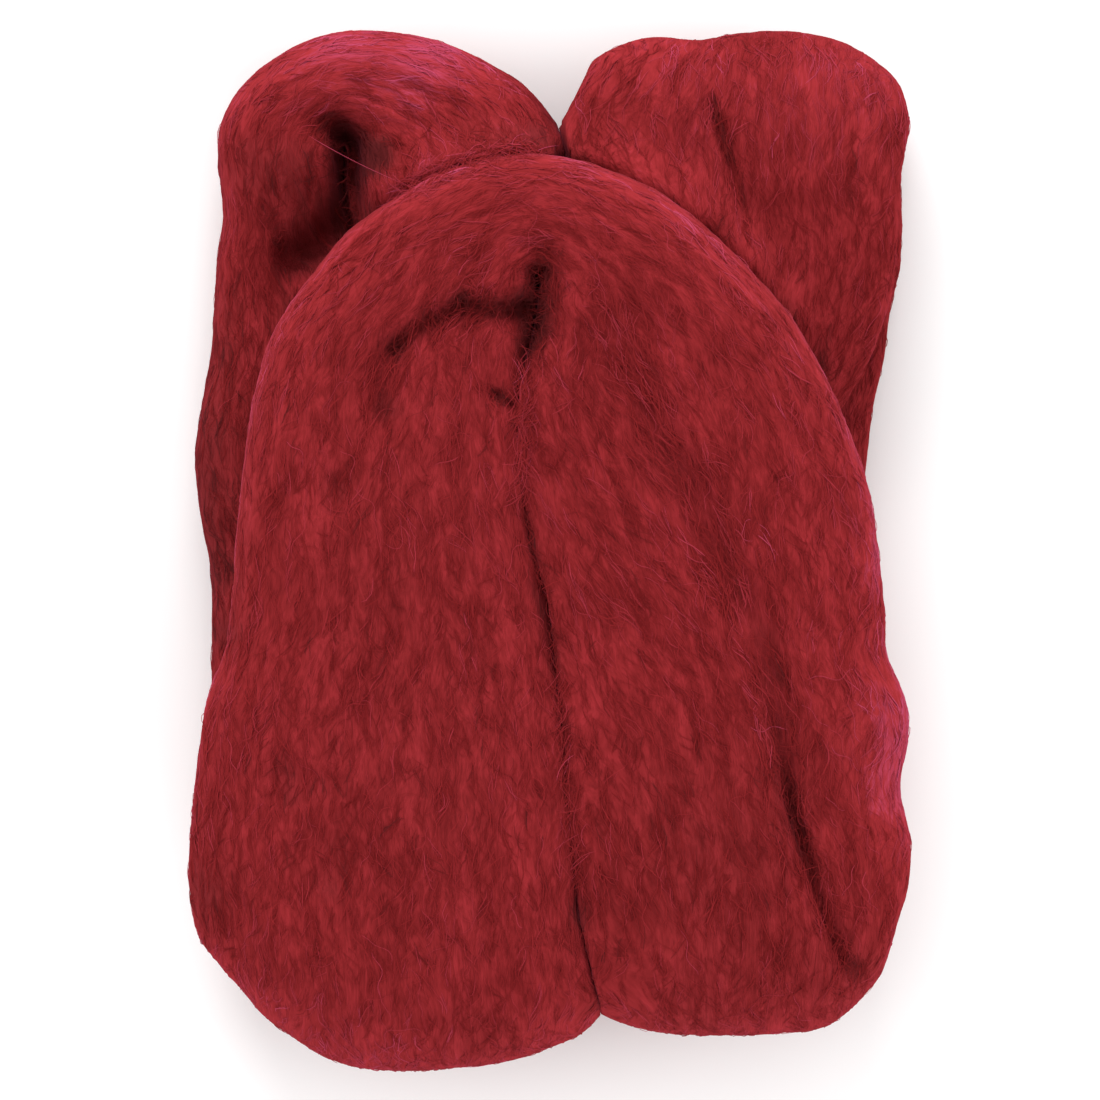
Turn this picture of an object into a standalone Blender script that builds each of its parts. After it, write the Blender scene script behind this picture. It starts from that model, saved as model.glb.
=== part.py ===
"""A hank of loose wool roving, folded back and forth into a flat bundle.

One soft, untwisted strand makes the whole thing. From its hidden first end it curls over the
top left, runs down the left side of the lower layer, folds forward at the bottom, climbs the
left side of the upper layer, turns over in the wide front arch, runs down the right side, folds
back at the bottom, climbs the right side of the lower layer and folds forward over the top
right, where its last end goes under the arch.

The bundle lies on its back: x is across it, y runs from its bottom folds to its top lobes, and
z is up from the surface that it rests on. Tables and sizes are in millimetres.
"""
import math
from collections import namedtuple

import bmesh
import bpy
import numpy as np

MM = 0.001

# The strand and its layers
OUTSIDE_POINTS = 19       # points across the strand on its outside, which shows
INSIDE_POINTS = 13        # points across it on the side that its layers press together
OUTER_FULLNESS = 2.35     # superellipse exponent of the half at the outer edge
INNER_FULLNESS = 3.5      # the half that is pressed against the neighbouring leg is squarer
LOWER_TOP = 20.0          # top of the lower layer where the upper one presses on it
UPPER_FLOOR = 20.8        # underside of the upper layer there
HEADROOM_INSET = 4.0      # how far inside the arch's edge the lower layer starts to rise again
HEADROOM_SLOPE = 0.7      # how steeply it rises beside the arch
TIP_LENGTH = 3.0          # rounding of the strand's two ends
TIP_ANGLES = (80.0, 50.0, 25.0)
FOLD_STEPS = 8            # key rows round each half turn
FINE_STATIONS = 4000      # samples used to space the sections evenly

WOOL_COLOUR = (0.235, 0.016, 0.020, 1.0)
WOOL_ROUGHNESS = 0.92

Row = namedtuple("Row", "outer_x outer_y inner_x inner_y middle_z thick bow")
LEVEL_COLUMNS = np.array([name in ("middle_z", "thick", "bow") for name in Row._fields])

# Each row is one section of the strand: the plan position of its outer and inner edge, the
# height of its middle, its thickness, and how far its middle bows along y from the straight
# line between its edges. Between rows the level columns never pass the higher or lower one.
TOP_LEFT_CURL = [
    Row(-1.4, 22.0, -5.8, 22.5, 8.5, 7.0, 0.0),
    Row(-0.6, 30.0, -12.0, 30.0, 9.5, 15.0, 0.0),
    Row(0.6, 38.0, -20.8, 39.0, 10.0, 20.0, 0.0),
    Row(2.1, 45.5, -26.0, 45.8, 10.5, 21.5, 0.0),
    Row(3.0, 54.0, -30.4, 51.0, 11.5, 23.5, 0.0),
    Row(3.6, 63.0, -32.5, 55.5, 12.5, 25.5, 0.0),
    Row(2.3, 70.5, -33.3, 60.0, 13.0, 27.0, 0.0),
    Row(-2.3, 76.8, -33.3, 63.5, 13.0, 27.5, 0.0),
    Row(-9.4, 81.6, -33.2, 65.3, 13.0, 27.5, 0.0),
    Row(-17.1, 85.1, -33.2, 66.4, 13.0, 27.5, 0.0),
    Row(-25.5, 86.8, -33.5, 67.2, 13.0, 27.5, 0.0),
    Row(-33.4, 87.0, -33.9, 67.5, 13.0, 27.5, 0.0),
    Row(-40.6, 85.2, -34.3, 67.2, 13.0, 27.5, 0.0),
    Row(-47.0, 81.5, -34.6, 66.4, 13.0, 27.0, 0.0),
    Row(-52.0, 76.6, -34.6, 65.3, 12.5, 26.0, 0.0),
    Row(-54.8, 70.0, -34.5, 63.2, 12.0, 25.0, 0.0),
    Row(-54.7, 62.5, -34.2, 60.0, 11.5, 24.0, 0.0),
]
LEFT_LEG = [
    Row(-54.0, 55.5, -33.6, 56.0, 11.0, 23.0, 0.0),
    Row(-54.8, 49.0, -31.4, 51.0, 10.5, 22.5, 0.0),
    Row(-55.2, 42.0, -27.2, 45.8, 10.5, 22.5, 0.0),
    Row(-55.8, 34.0, -22.0, 39.5, 10.5, 22.5, 0.0),
    Row(-57.3, 24.5, -15.2, 32.0, 10.5, 22.5, 0.0),
    Row(-58.8, 15.0, -8.5, 25.0, 10.5, 22.5, 0.0),
    Row(-58.2, 6.0, -3.6, 18.0, 10.0, 22.0, 0.0),
    Row(-56.5, -3.5, -0.9, 6.0, 10.0, 22.0, 0.0),
    Row(-55.7, -15.0, 2.0, -7.0, 10.0, 22.0, 0.0),
    Row(-56.0, -28.5, 5.0, -23.0, 10.0, 22.0, 0.0),
    Row(-57.0, -42.0, 5.9, -40.0, 9.8, 20.0, -4.5),
    Row(-57.8, -54.0, 5.4, -63.2, 9.6, 17.4, -10.2),
]
FRONT_ARCH = [
    Row(-59.9, -54.0, 5.4, -63.2, 31.2, 17.4, -10.2),
    Row(-59.7, -45.5, 4.4, -52.0, 31.2, 20.2, -8.0),
    Row(-58.3, -35.0, 3.2, -38.5, 31.0, 22.0, -4.0),
    Row(-57.0, -25.0, 2.0, -26.0, 31.0, 22.0, -1.5),
    Row(-56.0, -16.5, 0.6, -16.5, 31.0, 22.0, 0.0),
    Row(-54.5, -6.5, -1.0, -7.5, 31.0, 22.0, 0.0),
    Row(-53.0, 3.5, -3.2, 3.5, 31.0, 22.0, 0.0),
    Row(-51.5, 15.5, -4.7, 15.5, 31.0, 22.0, 0.0),
    Row(-49.5, 27.0, -5.1, 25.0, 31.0, 22.0, 0.0),
    Row(-46.0, 37.5, -4.7, 31.5, 31.0, 22.0, 0.0),
    Row(-41.0, 46.5, -4.2, 36.0, 31.2, 22.5, 0.0),
    Row(-34.5, 55.0, -3.8, 39.5, 31.4, 23.0, 0.0),
    Row(-26.0, 61.0, -3.4, 42.3, 31.5, 23.5, 0.0),
    Row(-16.5, 65.0, -2.9, 44.2, 31.5, 24.0, 0.0),
    Row(-7.5, 67.0, -2.3, 45.3, 31.5, 24.0, 0.0),
    Row(2.0, 66.5, -1.6, 45.6, 31.5, 24.0, 0.0),
    Row(10.5, 64.5, -1.1, 45.2, 31.5, 24.0, 0.0),
    Row(19.0, 61.5, -0.8, 44.0, 31.5, 23.5, 0.0),
    Row(27.5, 56.0, -0.7, 42.0, 31.5, 23.0, 0.0),
    Row(35.5, 48.0, -1.0, 39.2, 31.4, 22.8, 0.0),
    Row(42.0, 39.0, -1.8, 36.0, 31.2, 22.5, 0.0),
    Row(47.5, 28.0, -3.1, 31.0, 31.0, 22.0, 0.0),
    Row(51.3, 18.5, -4.2, 24.5, 31.0, 22.0, 0.0),
    Row(54.4, 8.5, -4.2, 16.0, 31.0, 22.0, 0.0),
    Row(56.1, -1.5, -3.1, 6.0, 31.0, 22.0, 0.0),
    Row(57.0, -11.5, -1.0, -4.5, 31.0, 22.0, 0.0),
    Row(57.4, -19.0, 0.8, -14.0, 31.0, 22.0, 0.0),
    Row(60.0, -26.0, 2.2, -22.0, 31.0, 22.0, 0.0),
    Row(60.5, -32.5, 3.2, -31.0, 31.0, 22.0, -0.5),
    Row(59.6, -41.0, 4.2, -41.0, 31.0, 22.0, -1.5),
    Row(60.7, -49.0, 5.2, -51.0, 31.0, 20.8, -2.5),
    Row(60.3, -57.4, 6.1, -61.2, 31.2, 17.8, -3.6),
]
RIGHT_LEG = [
    Row(59.0, -57.4, 6.1, -61.2, 9.6, 17.8, -3.6),
    Row(57.0, -42.0, 6.7, -48.0, 10.0, 20.6, -2.0),
    Row(56.0, -28.5, 6.2, -34.0, 10.0, 22.0, 0.0),
    Row(55.0, -16.5, 4.8, -21.0, 10.0, 22.0, 0.0),
    Row(54.2, -8.0, 3.2, -11.0, 10.0, 22.0, 0.0),
    Row(53.8, 0.0, 1.5, -1.0, 9.6, 20.8, 0.0),
    Row(53.5, 8.5, 0.3, 8.0, 8.2, 17.2, 0.0),
    Row(54.4, 16.0, -0.6, 17.0, 6.6, 13.6, 0.0),
    Row(55.6, 23.5, -0.7, 25.0, 5.6, 11.6, 0.0),
    Row(57.2, 32.0, 0.1, 32.0, 5.2, 10.8, 0.0),
    Row(58.6, 39.5, 1.5, 38.0, 5.4, 11.0, 0.0),
    Row(59.6, 46.5, 2.8, 45.5, 5.7, 11.6, 0.0),
    Row(60.0, 53.0, 3.7, 54.0, 5.9, 12.0, 0.0),
    Row(59.7, 59.0, 4.2, 62.5, 6.1, 12.4, 0.0),
    Row(60.3, 66.0, 3.6, 67.0, 6.2, 12.5, 1.5),
    Row(61.0, 71.0, 2.9, 71.0, 6.2, 12.3, 2.2),
]
TOP_RIGHT_TAIL = [
    Row(61.0, 71.0, 2.9, 71.0, 20.8, 12.3, 2.2),
    Row(59.6, 62.5, 4.6, 62.5, 20.6, 12.6, 0.5),
    Row(59.6, 54.0, 6.0, 55.0, 19.4, 12.2, 0.0),
    Row(58.6, 45.5, 7.0, 45.5, 17.8, 11.0, 0.0),
    Row(56.6, 37.0, 8.5, 37.0, 16.6, 10.2, 0.0),
    Row(53.8, 29.5, 10.5, 28.5, 16.2, 9.0, 0.0),
    Row(49.0, 22.0, 13.5, 21.0, 16.8, 7.0, 0.0),
    Row(43.0, 15.5, 17.5, 15.0, 18.2, 4.4, 0.0),
    Row(37.0, 11.5, 23.5, 11.5, 19.2, 2.2, 0.0),
]

Run = namedtuple("Run", "rows layer step")
Fold = namedtuple("Fold", "side outer_tuck inner_tuck")

# The runs in order along the strand, with the longest step between their sections, and the
# fold before each: the side of y that it stands out to, and how far each edge draws in.
RUNS = (
    Run(TOP_LEFT_CURL, "lower", 5.0),
    Run(LEFT_LEG, "lower", 7.0),
    Run(FRONT_ARCH, "upper", 4.9),
    Run(RIGHT_LEG, "lower", 7.0),
    Run(TOP_RIGHT_TAIL, "tail", 6.0),
)
FOLDS = (
    None,
    None,
    Fold(-1, 1.2, -3.0),
    Fold(-1, 2.5, 2.7),
    Fold(1, 1.2, 4.2),
)
FOLD_STATION_STEP = 5.0

Crease = namedtuple("Crease", "x y depth left right")

# A crease runs through its rows. Its depth falls away over the left and right widths, as seen
# along it.
FRONT_CREASES = [
    [
        Crease(-3.5, 41.8, 6.0, 4.0, 2.6),
        Crease(-10.5, 41.2, 6.5, 5.5, 2.6),
        Crease(-17.5, 39.5, 6.0, 6.0, 2.8),
        Crease(-23.0, 36.0, 5.0, 6.0, 2.8),
        Crease(-27.5, 30.5, 2.0, 4.0, 2.8),
    ],
    [
        Crease(8.5, 35.5, 1.0, 4.0, 4.0),
        Crease(13.0, 30.0, 2.4, 4.0, 5.0),
        Crease(17.5, 21.5, 2.6, 4.0, 5.5),
        Crease(24.0, 10.0, 2.8, 4.0, 6.0),
        Crease(29.5, 0.0, 3.2, 4.0, 6.5),
        Crease(33.5, -11.0, 4.0, 3.6, 7.0),
        Crease(36.5, -21.0, 5.0, 3.2, 7.0),
        Crease(39.5, -32.0, 6.2, 3.2, 7.0),
        Crease(42.5, -43.0, 6.4, 3.2, 7.0),
        Crease(46.5, -56.0, 6.0, 3.4, 6.5),
        Crease(51.5, -68.5, 5.5, 3.6, 5.5),
        Crease(54.0, -76.0, 4.0, 3.6, 4.5),
    ],
]
LOBE_CREASES = [
    [
        Crease(24.5, 85.0, 1.2, 2.5, 2.5),
        Crease(26.0, 77.0, 1.0, 2.0, 2.0),
        Crease(27.5, 70.0, 2.0, 1.8, 1.8),
        Crease(28.5, 61.0, 2.6, 1.8, 1.8),
        Crease(30.5, 53.5, 1.6, 2.2, 2.2),
        Crease(31.5, 47.0, 0.4, 2.2, 2.2),
    ],
    [
        Crease(-37.5, 70.0, 2.0, 3.0, 2.5),
        Crease(-34.0, 68.5, 6.0, 3.0, 2.5),
        Crease(-33.5, 62.0, 7.0, 2.5, 4.0),
        Crease(-36.5, 55.0, 8.0, 3.0, 5.0),
        Crease(-43.0, 48.5, 9.0, 3.5, 4.5),
    ],
]

Dent = namedtuple("Dent", "x y z radius depth")

# Hollows pushed into the surface round a point, and swellings where the depth is negative.
DENTS = [
    Dent(-27.5, 23.5, 42.0, 4.5, 1.8),
    Dent(-34.5, 10.5, 42.0, 4.5, 1.8),
    Dent(-43.5, -40.0, 42.0, 4.5, 1.6),
    Dent(-37.0, -54.0, 42.0, 5.0, 1.5),
    Dent(-7.5, 25.0, 42.0, 2.6, 2.5),
    Dent(-42.5, 63.5, 26.0, 5.0, -2.0),
    Dent(-52.5, -72.0, 20.5, 6.0, 1.8),
    Dent(59.0, -25.0, 34.0, 9.0, -1.0),
    Dent(60.5, -49.0, 34.0, 10.0, -1.0),
]


def fold_rows(before, after, fold):
    """Give the key rows of a half turn about x between two rows."""
    rows = []
    radius = abs(after.middle_z - before.middle_z) / 2
    for step in range(1, FOLD_STEPS):
        angle = math.pi * step / FOLD_STEPS
        blend = (1 - math.cos(angle)) / 2
        out = fold.side * radius * math.sin(angle)
        row = Row(*(a + (b - a) * blend for a, b in zip(before, after)))
        toward_inner = math.copysign(math.sin(angle), row.inner_x - row.outer_x)
        rows.append(row._replace(
            outer_x=row.outer_x + fold.outer_tuck * toward_inner,
            inner_x=row.inner_x - fold.inner_tuck * toward_inner,
            outer_y=row.outer_y + out,
            inner_y=row.inner_y + out,
        ))
    return rows


def key_rows():
    """Join the runs by their folds, and give the layer and the longest step of every row."""
    rows, layers, steps = [], [], []
    for run, fold in zip(RUNS, FOLDS):
        turn = fold_rows(rows[-1], run.rows[0], fold) if fold else []
        rows += turn + run.rows
        layers += ["fold"] * len(turn) + [run.layer] * len(run.rows)
        steps += [FOLD_STATION_STEP] * len(turn) + [run.step] * len(run.rows)
    return np.array(rows), layers, np.array(steps)


def smooth_through(keys, rows, wanted):
    """Read a smooth curve through the rows at the wanted keys."""
    slopes = np.gradient(rows, keys, axis=0)
    rise = np.diff(rows, axis=0)
    slopes[1:-1][(rise[:-1] * rise[1:] <= 0) & LEVEL_COLUMNS] = 0
    index = np.clip(np.searchsorted(keys, wanted, side="right") - 1, 0, len(keys) - 2)
    span = (keys[index + 1] - keys[index])[:, None]
    t = ((wanted - keys[index])[:, None]) / span
    low, high = rows[index], rows[index + 1]
    return (
        (2 * t ** 3 - 3 * t ** 2 + 1) * low + (t ** 3 - 2 * t ** 2 + t) * span * slopes[index]
        + (3 * t ** 2 - 2 * t ** 3) * high + (t ** 3 - t ** 2) * span * slopes[index + 1]
    )


def unit(vectors):
    """Scale vectors to length one."""
    return vectors / np.linalg.norm(vectors, axis=-1, keepdims=True)


def frames(rows):
    """Give each section's centre, half width across, and half thickness towards its inside."""
    table = Row(*rows.T)
    outer = np.stack((table.outer_x, table.outer_y, table.middle_z), axis=1)
    inner = np.stack((table.inner_x, table.inner_y, table.middle_z), axis=1)
    centre = (outer + inner) / 2
    half_across = (outer - inner) / 2
    inward = unit(np.cross(half_across, np.gradient(centre, axis=0)))
    return centre, half_across, inward * table.thick[:, None] / 2


def longest_steps(rows):
    """Give how far the strand's edges and its outside go from each row to the next."""
    centre, half_across, half_thick = frames(rows)
    tracks = (centre + half_across, centre - half_across, centre - half_thick)
    return np.max([np.linalg.norm(np.diff(track, axis=0), axis=1) for track in tracks], axis=0)


def stations():
    """Space sections along the strand, with the layer that each lies in."""
    rows, layers, steps = key_rows()
    keys = np.concatenate(([0.0], np.cumsum(longest_steps(rows))))
    fine = np.linspace(keys[0], keys[-1], FINE_STATIONS)
    walked = longest_steps(smooth_through(keys, rows, fine)) / np.interp(fine[1:], keys, steps)
    walked = np.concatenate(([0.0], np.cumsum(walked)))
    count = math.ceil(walked[-1]) + 1
    wanted = np.interp(np.linspace(0, walked[-1], count), walked, fine)
    nearest = np.abs(wanted[:, None] - keys).argmin(axis=1)
    return smooth_through(keys, rows, wanted), [layers[i] for i in nearest]


def section_outline():
    """Give the points round one section: across from -1 inner to 1 outer, and up from -1 to 1."""
    inside = (np.arange(INSIDE_POINTS) + 0.5) * math.pi / INSIDE_POINTS
    outside = (np.arange(OUTSIDE_POINTS) + 0.5) * math.pi / OUTSIDE_POINTS + math.pi
    angles = np.concatenate((inside, outside))
    cosine, sine = np.cos(angles), np.sin(angles)
    power = 2 / np.where(cosine > 0, OUTER_FULLNESS, INNER_FULLNESS)
    across = np.sign(cosine) * np.abs(cosine) ** power
    up = np.sign(sine) * np.abs(sine) ** power
    return across, up


def swept_rings(rows):
    """Place a ring of points for every station, with two rounded tips."""
    centre, half_across, half_thick = frames(rows)
    across, up = section_outline()
    rings = (
        centre[:, None, :]
        + half_across[:, None, :] * across[None, :, None]
        + half_thick[:, None, :] * up[None, :, None]
    )
    bow = rows[:, Row._fields.index("bow")]
    rings[:, :, 1] += bow[:, None] * (1 - across ** 2)
    along = unit(np.gradient(centre, axis=0))
    first = [tip_ring(rings[0], centre[0], -along[0], angle) for angle in TIP_ANGLES]
    last = [tip_ring(rings[-1], centre[-1], along[-1], angle) for angle in reversed(TIP_ANGLES)]
    return np.concatenate((first, rings, last))


def tip_ring(ring, centre, direction, angle):
    """Shrink an end section towards its middle, further out along the strand."""
    turn = math.radians(angle)
    return centre + (ring - centre) * math.cos(turn) + direction * TIP_LENGTH * math.sin(turn)


def arch_outline():
    """Give the plan outline of the upper layer, closed below the bottom folds."""
    rows = np.array(FRONT_ARCH)
    keys = np.arange(len(rows), dtype=float)
    dense = smooth_through(keys, rows, np.linspace(0, len(rows) - 1, 4 * len(rows)))
    edge = dense[:, :2]
    below = np.array(((edge[-1, 0], -100.0), (edge[0, 0], -100.0)))
    return np.concatenate((edge, below))


def nearest_on_path(points, path):
    """Find the nearest place on a path for each plan point.

    Gives the distance, which is positive to the left of the path, and the place as a fraction
    of the way through the path's corners.
    """
    start, step = path[:-1], np.diff(path, axis=0)
    offset = points[:, None, :] - start
    part = np.clip((offset * step).sum(axis=2) / (step ** 2).sum(axis=1), 0, 1)
    away = offset - step * part[:, :, None]
    distance = np.linalg.norm(away, axis=2)
    best = distance.argmin(axis=1)
    row = np.arange(len(points))
    turn = step[best, 0] * away[row, best, 1] - step[best, 1] * away[row, best, 0]
    return distance[row, best] * np.where(turn >= 0, 1, -1), best + part[row, best]


def headroom(points):
    """Give the height that the lower layer may reach at each plan point."""
    outline = arch_outline()
    distance, _ = nearest_on_path(points, np.concatenate((outline, outline[:1])))
    outside = distance + HEADROOM_INSET
    return LOWER_TOP + HEADROOM_SLOPE * np.maximum(outside, 0)


def press_layers(rings, layers):
    """Flatten the strand where it lies on the floor and where its layers press together."""
    plan = rings[:, :, :2].reshape(-1, 2)
    room = headroom(plan).reshape(rings.shape[:2])
    for index, layer in enumerate(layers):
        height = rings[index, :, 2]
        if layer in ("lower", "tail"):
            height[:] = np.minimum(height, room[index])
        if layer == "upper":
            height[:] = np.maximum(height, UPPER_FLOOR)
        height[:] = np.maximum(height, 0.0)


def in_layers(layers, *names):
    """Tell for each ring whether it lies in one of the named layers."""
    return np.array([layer in names for layer in layers])[:, None]


def ring_normals(rings):
    """Give the outward direction at each point of the rings."""
    along = np.gradient(rings, axis=0)
    around = np.roll(rings, -1, axis=1) - np.roll(rings, 1, axis=1)
    cross = np.cross(along, around)
    return cross / np.maximum(np.linalg.norm(cross, axis=2, keepdims=True), 1e-9)


def crease_depth(points, crease):
    """Give how deep one crease goes at each plan point."""
    rows = np.array(crease)
    distance, place = nearest_on_path(points, rows[:, :2])
    corners = np.arange(len(rows))
    depth, left, right = (np.interp(place, corners, rows[:, i]) for i in (2, 3, 4))
    width = np.where(distance > 0, left, right)
    return depth * np.exp(-(distance / width) ** 2)


def shape_surface(rings, layers):
    """Push the creases, hollows and swellings into the strand."""
    normals = ring_normals(rings)
    facing_up = np.clip(normals[:, :, 2] * 2, 0, 1)
    plan = rings[:, :, :2].reshape(-1, 2)
    shape = rings.shape[:2]
    upper = (rings[:, :, 2] > UPPER_FLOOR) & in_layers(layers, "upper", "fold")
    lobes = in_layers(layers, "lower", "tail", "fold") & ~upper
    for creases, here in ((FRONT_CREASES, upper), (LOBE_CREASES, lobes)):
        for crease in creases:
            rings[:, :, 2] -= crease_depth(plan, crease).reshape(shape) * here * facing_up
    for dent in DENTS:
        away = np.linalg.norm(rings - np.array(dent[:3]), axis=2)
        depth = dent.depth * np.exp(-(away / dent.radius) ** 2)
        rings -= normals * depth[:, :, None]


def strand_rings():
    """Work out every ring of the finished strand, in millimetres."""
    rows, layers = stations()
    rings = swept_rings(rows)
    ends = len(TIP_ANGLES)
    layers = [layers[0]] * ends + layers + [layers[-1]] * ends
    press_layers(rings, layers)
    shape_surface(rings, layers)
    rings[:, :, 2] = np.maximum(rings[:, :, 2], 0.0)
    return rings


def centred(rings):
    """Move the rings so that the middle of their plan box is the origin."""
    low, high = rings.min(axis=(0, 1)), rings.max(axis=(0, 1))
    shift = (low + high) / 2
    shift[2] = low[2]
    return rings - shift


def strand_mesh(name, rings):
    """Skin the rings into one closed mesh, in metres."""
    bm = bmesh.new()
    loops = [[bm.verts.new(point * MM) for point in ring] for ring in rings]
    sides = len(loops[0])
    for low, high in zip(loops, loops[1:]):
        for i, j in zip(range(sides), [*range(1, sides), 0]):
            bm.faces.new((low[i], low[j], high[j], high[i]))
    bm.faces.new(loops[0][::-1])
    bm.faces.new(loops[-1])
    bmesh.ops.triangulate(bm, faces=bm.faces[:], quad_method="SHORT_EDGE", ngon_method="BEAUTY")
    bmesh.ops.recalc_face_normals(bm, faces=bm.faces[:])
    mesh = bpy.data.meshes.new(name)
    bm.to_mesh(mesh)
    bm.free()
    mesh.shade_smooth()
    return mesh


def wool_material():
    """Make the matt wool finish."""
    material = bpy.data.materials.new("wool")
    material.use_nodes = True
    shader = material.node_tree.nodes["Principled BSDF"]
    shader.inputs["Base Color"].default_value = WOOL_COLOUR
    shader.inputs["Roughness"].default_value = WOOL_ROUGHNESS
    shader.inputs["Metallic"].default_value = 0.0
    return material


def main():
    """Build the strand in its own collection."""
    for old in list(bpy.data.objects):
        bpy.data.objects.remove(old)
    collection = bpy.data.collections.new("wool_roving")
    bpy.context.scene.collection.children.link(collection)
    mesh = strand_mesh("roving", centred(strand_rings()))
    mesh.materials.append(wool_material())
    roving = bpy.data.objects.new("roving", mesh)
    collection.objects.link(roving)


main()
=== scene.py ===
"""Looks of a folded hank of loose wool roving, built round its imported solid.

The strand is swept again from the rows of its solid, finely enough to carry tufts and narrow
creases. The arch's edge, the lobes beside it and parts of the outline are moved a little, to where
the photograph has them. Coats of loose fibres follow the strand's lie, some fibres stray from it,
and others bridge its creases. Lengths are in millimetres until a mesh is made; x is across the
bundle, y runs to its top lobes, and z is up.
"""
import logging
import math
from dataclasses import dataclass, replace
from enum import Enum
from typing import NamedTuple, Optional, Sequence

import bmesh
import bpy
import numpy as np
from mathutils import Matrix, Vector, noise
from mathutils.bvhtree import BVHTree


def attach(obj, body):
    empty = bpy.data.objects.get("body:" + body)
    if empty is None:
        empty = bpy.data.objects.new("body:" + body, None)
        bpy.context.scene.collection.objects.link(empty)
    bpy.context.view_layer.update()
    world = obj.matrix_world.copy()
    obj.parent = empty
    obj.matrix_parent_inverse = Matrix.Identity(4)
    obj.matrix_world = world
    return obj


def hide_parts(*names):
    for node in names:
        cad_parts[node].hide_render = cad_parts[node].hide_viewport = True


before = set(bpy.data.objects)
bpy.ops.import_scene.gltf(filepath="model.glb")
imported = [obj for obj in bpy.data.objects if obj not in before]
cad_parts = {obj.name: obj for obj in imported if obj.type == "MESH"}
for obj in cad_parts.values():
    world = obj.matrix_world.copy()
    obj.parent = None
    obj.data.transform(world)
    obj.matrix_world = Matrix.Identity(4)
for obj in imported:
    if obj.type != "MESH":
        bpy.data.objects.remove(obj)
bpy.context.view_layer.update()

LOG = logging.getLogger("roving")

MM = 0.001
NODE = "roving"
BODY = "root"
NOISE_SEED = 1                    # of the noise that sways tufts and streaks

PHOTO_SIDE = 1100
PHOTO_CENTRE = (549.5, 551.0)     # the bundle's middle in the photograph, in its pixels
PIXEL = 0.168                     # millimetres to a pixel of the photograph

STRAND_MAP = "strand"             # UV map along and round the strand
BAKE_MAP = "OFBake"               # UV map laid out for baking
GRAIN = "grain"                   # vertex attribute: place along and round the strand
PAINTED_SHADE = "deep"                     # vertex attribute: painted shade from 0 to 1, for depth in a crease and for places shut in from the light
PAINTED_LIGHT_AND_TONE = "lit"                       # vertex attribute: how much lighter than usual the wool is painted, by a painted rim highlight and light patches that are partly painted light and partly tone

OPEN_RIM = (0.6, 0.9)             # openness from which a rim gets its painted highlight, and where it gets it fully
HIGH_RIM = (12.0, 28.0)           # heights likewise
DRIFT_SHARE = 0.35                # how much of a turn the body's grain takes, so that it isn't torn
PATCH_TILT = 0.5                  # how far past upright a place still shows its patches
SWAY = 0.7                        # how far the places of drawn-out noise are swayed
SWAY_PITCH = 0.7                  # how fine that sway is
SWAY_SEED = 31.7                  # sets the sway's pattern apart from the noise's own

Colour = tuple[float, float, float]
Stops = tuple[tuple[float, Colour], ...]
Span = tuple[float, float]


class Row(NamedTuple):
    """One section of the strand: its plan edges, its middle's height, thickness and bow."""

    outer_x: float
    outer_y: float
    inner_x: float
    inner_y: float
    middle_z: float
    thick: float
    bow: float = 0.0


class Run(NamedTuple):
    """A stretch of rows in one layer, with the longest step between its sections."""

    rows: Sequence[Row]
    layer: str
    step: float


class Fold(NamedTuple):
    """A half turn between two runs: its side of y and how far each edge draws in."""

    side: int
    outer_tuck: float
    inner_tuck: float


class Crease(NamedTuple):
    """A corner of a crease's path: its depth and its width to the left and to the right."""

    x: float
    y: float
    depth: float
    left: float
    right: float


class Dent(NamedTuple):
    """A hollow pushed in round a point, or a swelling where its depth is negative."""

    x: float
    y: float
    z: float
    radius: float
    depth: float


class Weld(NamedTuple):
    """A corner of a crease that loose fibre closes: how far its walls come together."""

    x: float
    y: float
    closing: float
    width: float


class Spot(NamedTuple):
    """A round place on the bundle seen from above, and how much something changes there."""

    x: float
    y: float
    radius: float
    change: float


class Tuft(NamedTuple):
    """One size of the lumps that loose tufts raise: length, width, height and seed."""

    length: float
    width: float
    height: float
    seed: float


def each(kind: type, *rows: tuple[float, ...]) -> list:
    """Make one record of a kind from each row of numbers."""
    return [kind(*row) for row in rows]


LEVEL_COLUMNS = np.array([name in ("middle_z", "thick", "bow") for name in Row._fields])

TOP_LEFT_CURL = each(
    Row,
    (-1.4, 22, -5.8, 22.5, 8.5, 7), (-0.6, 30, -12, 30, 9.5, 15), (0.6, 38, -20.8, 39, 10, 20),
    (2.1, 45.5, -26, 45.8, 10.5, 21.5), (3, 54, -30.4, 51, 11.5, 23.5),
    (3.6, 63, -32.5, 55.5, 12.5, 25.5), (2.3, 70.5, -33.3, 60, 13, 27),
    (-2.3, 76.8, -33.3, 63.5, 13, 27.5), (-9.4, 81.6, -33.2, 65.3, 13, 27.5),
    (-17.1, 85.1, -33.2, 66.4, 13, 27.5), (-25.5, 86.8, -33.5, 67.2, 13, 27.5),
    (-33.4, 87, -33.9, 67.5, 13, 27.5), (-40.6, 85.2, -34.3, 67.2, 13, 27.5),
    (-47, 81.5, -34.6, 66.4, 13, 27), (-52.2, 76.6, -34.6, 65.3, 12.5, 26),
    (-55.1, 70, -34.5, 63.2, 12, 25), (-55, 62.5, -34.2, 60, 11.5, 24),
)
LEFT_LEG = each(
    Row,
    (-54.4, 55.5, -33.6, 56, 11, 23), (-55.4, 49, -31.4, 51, 10.5, 22.5),
    (-55.8, 42, -27.2, 45.8, 10.5, 22.5), (-56.3, 34, -22, 39.5, 10.5, 22.5),
    (-57.8, 24.5, -15.2, 32, 10.5, 22.5), (-59.2, 15, -8.5, 25, 10.5, 22.5),
    (-58.4, 6, -3.6, 18, 10, 22), (-56.5, -3.5, -0.9, 6, 10, 22), (-56.3, -15, 2, -7, 10, 22),
    (-56.5, -28.5, 5, -23, 10, 22), (-57, -42, 5.9, -40, 9.8, 20, -4.5),
    (-57.8, -54, 5.4, -63.2, 9.6, 17.4, -10.2),
)
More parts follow.
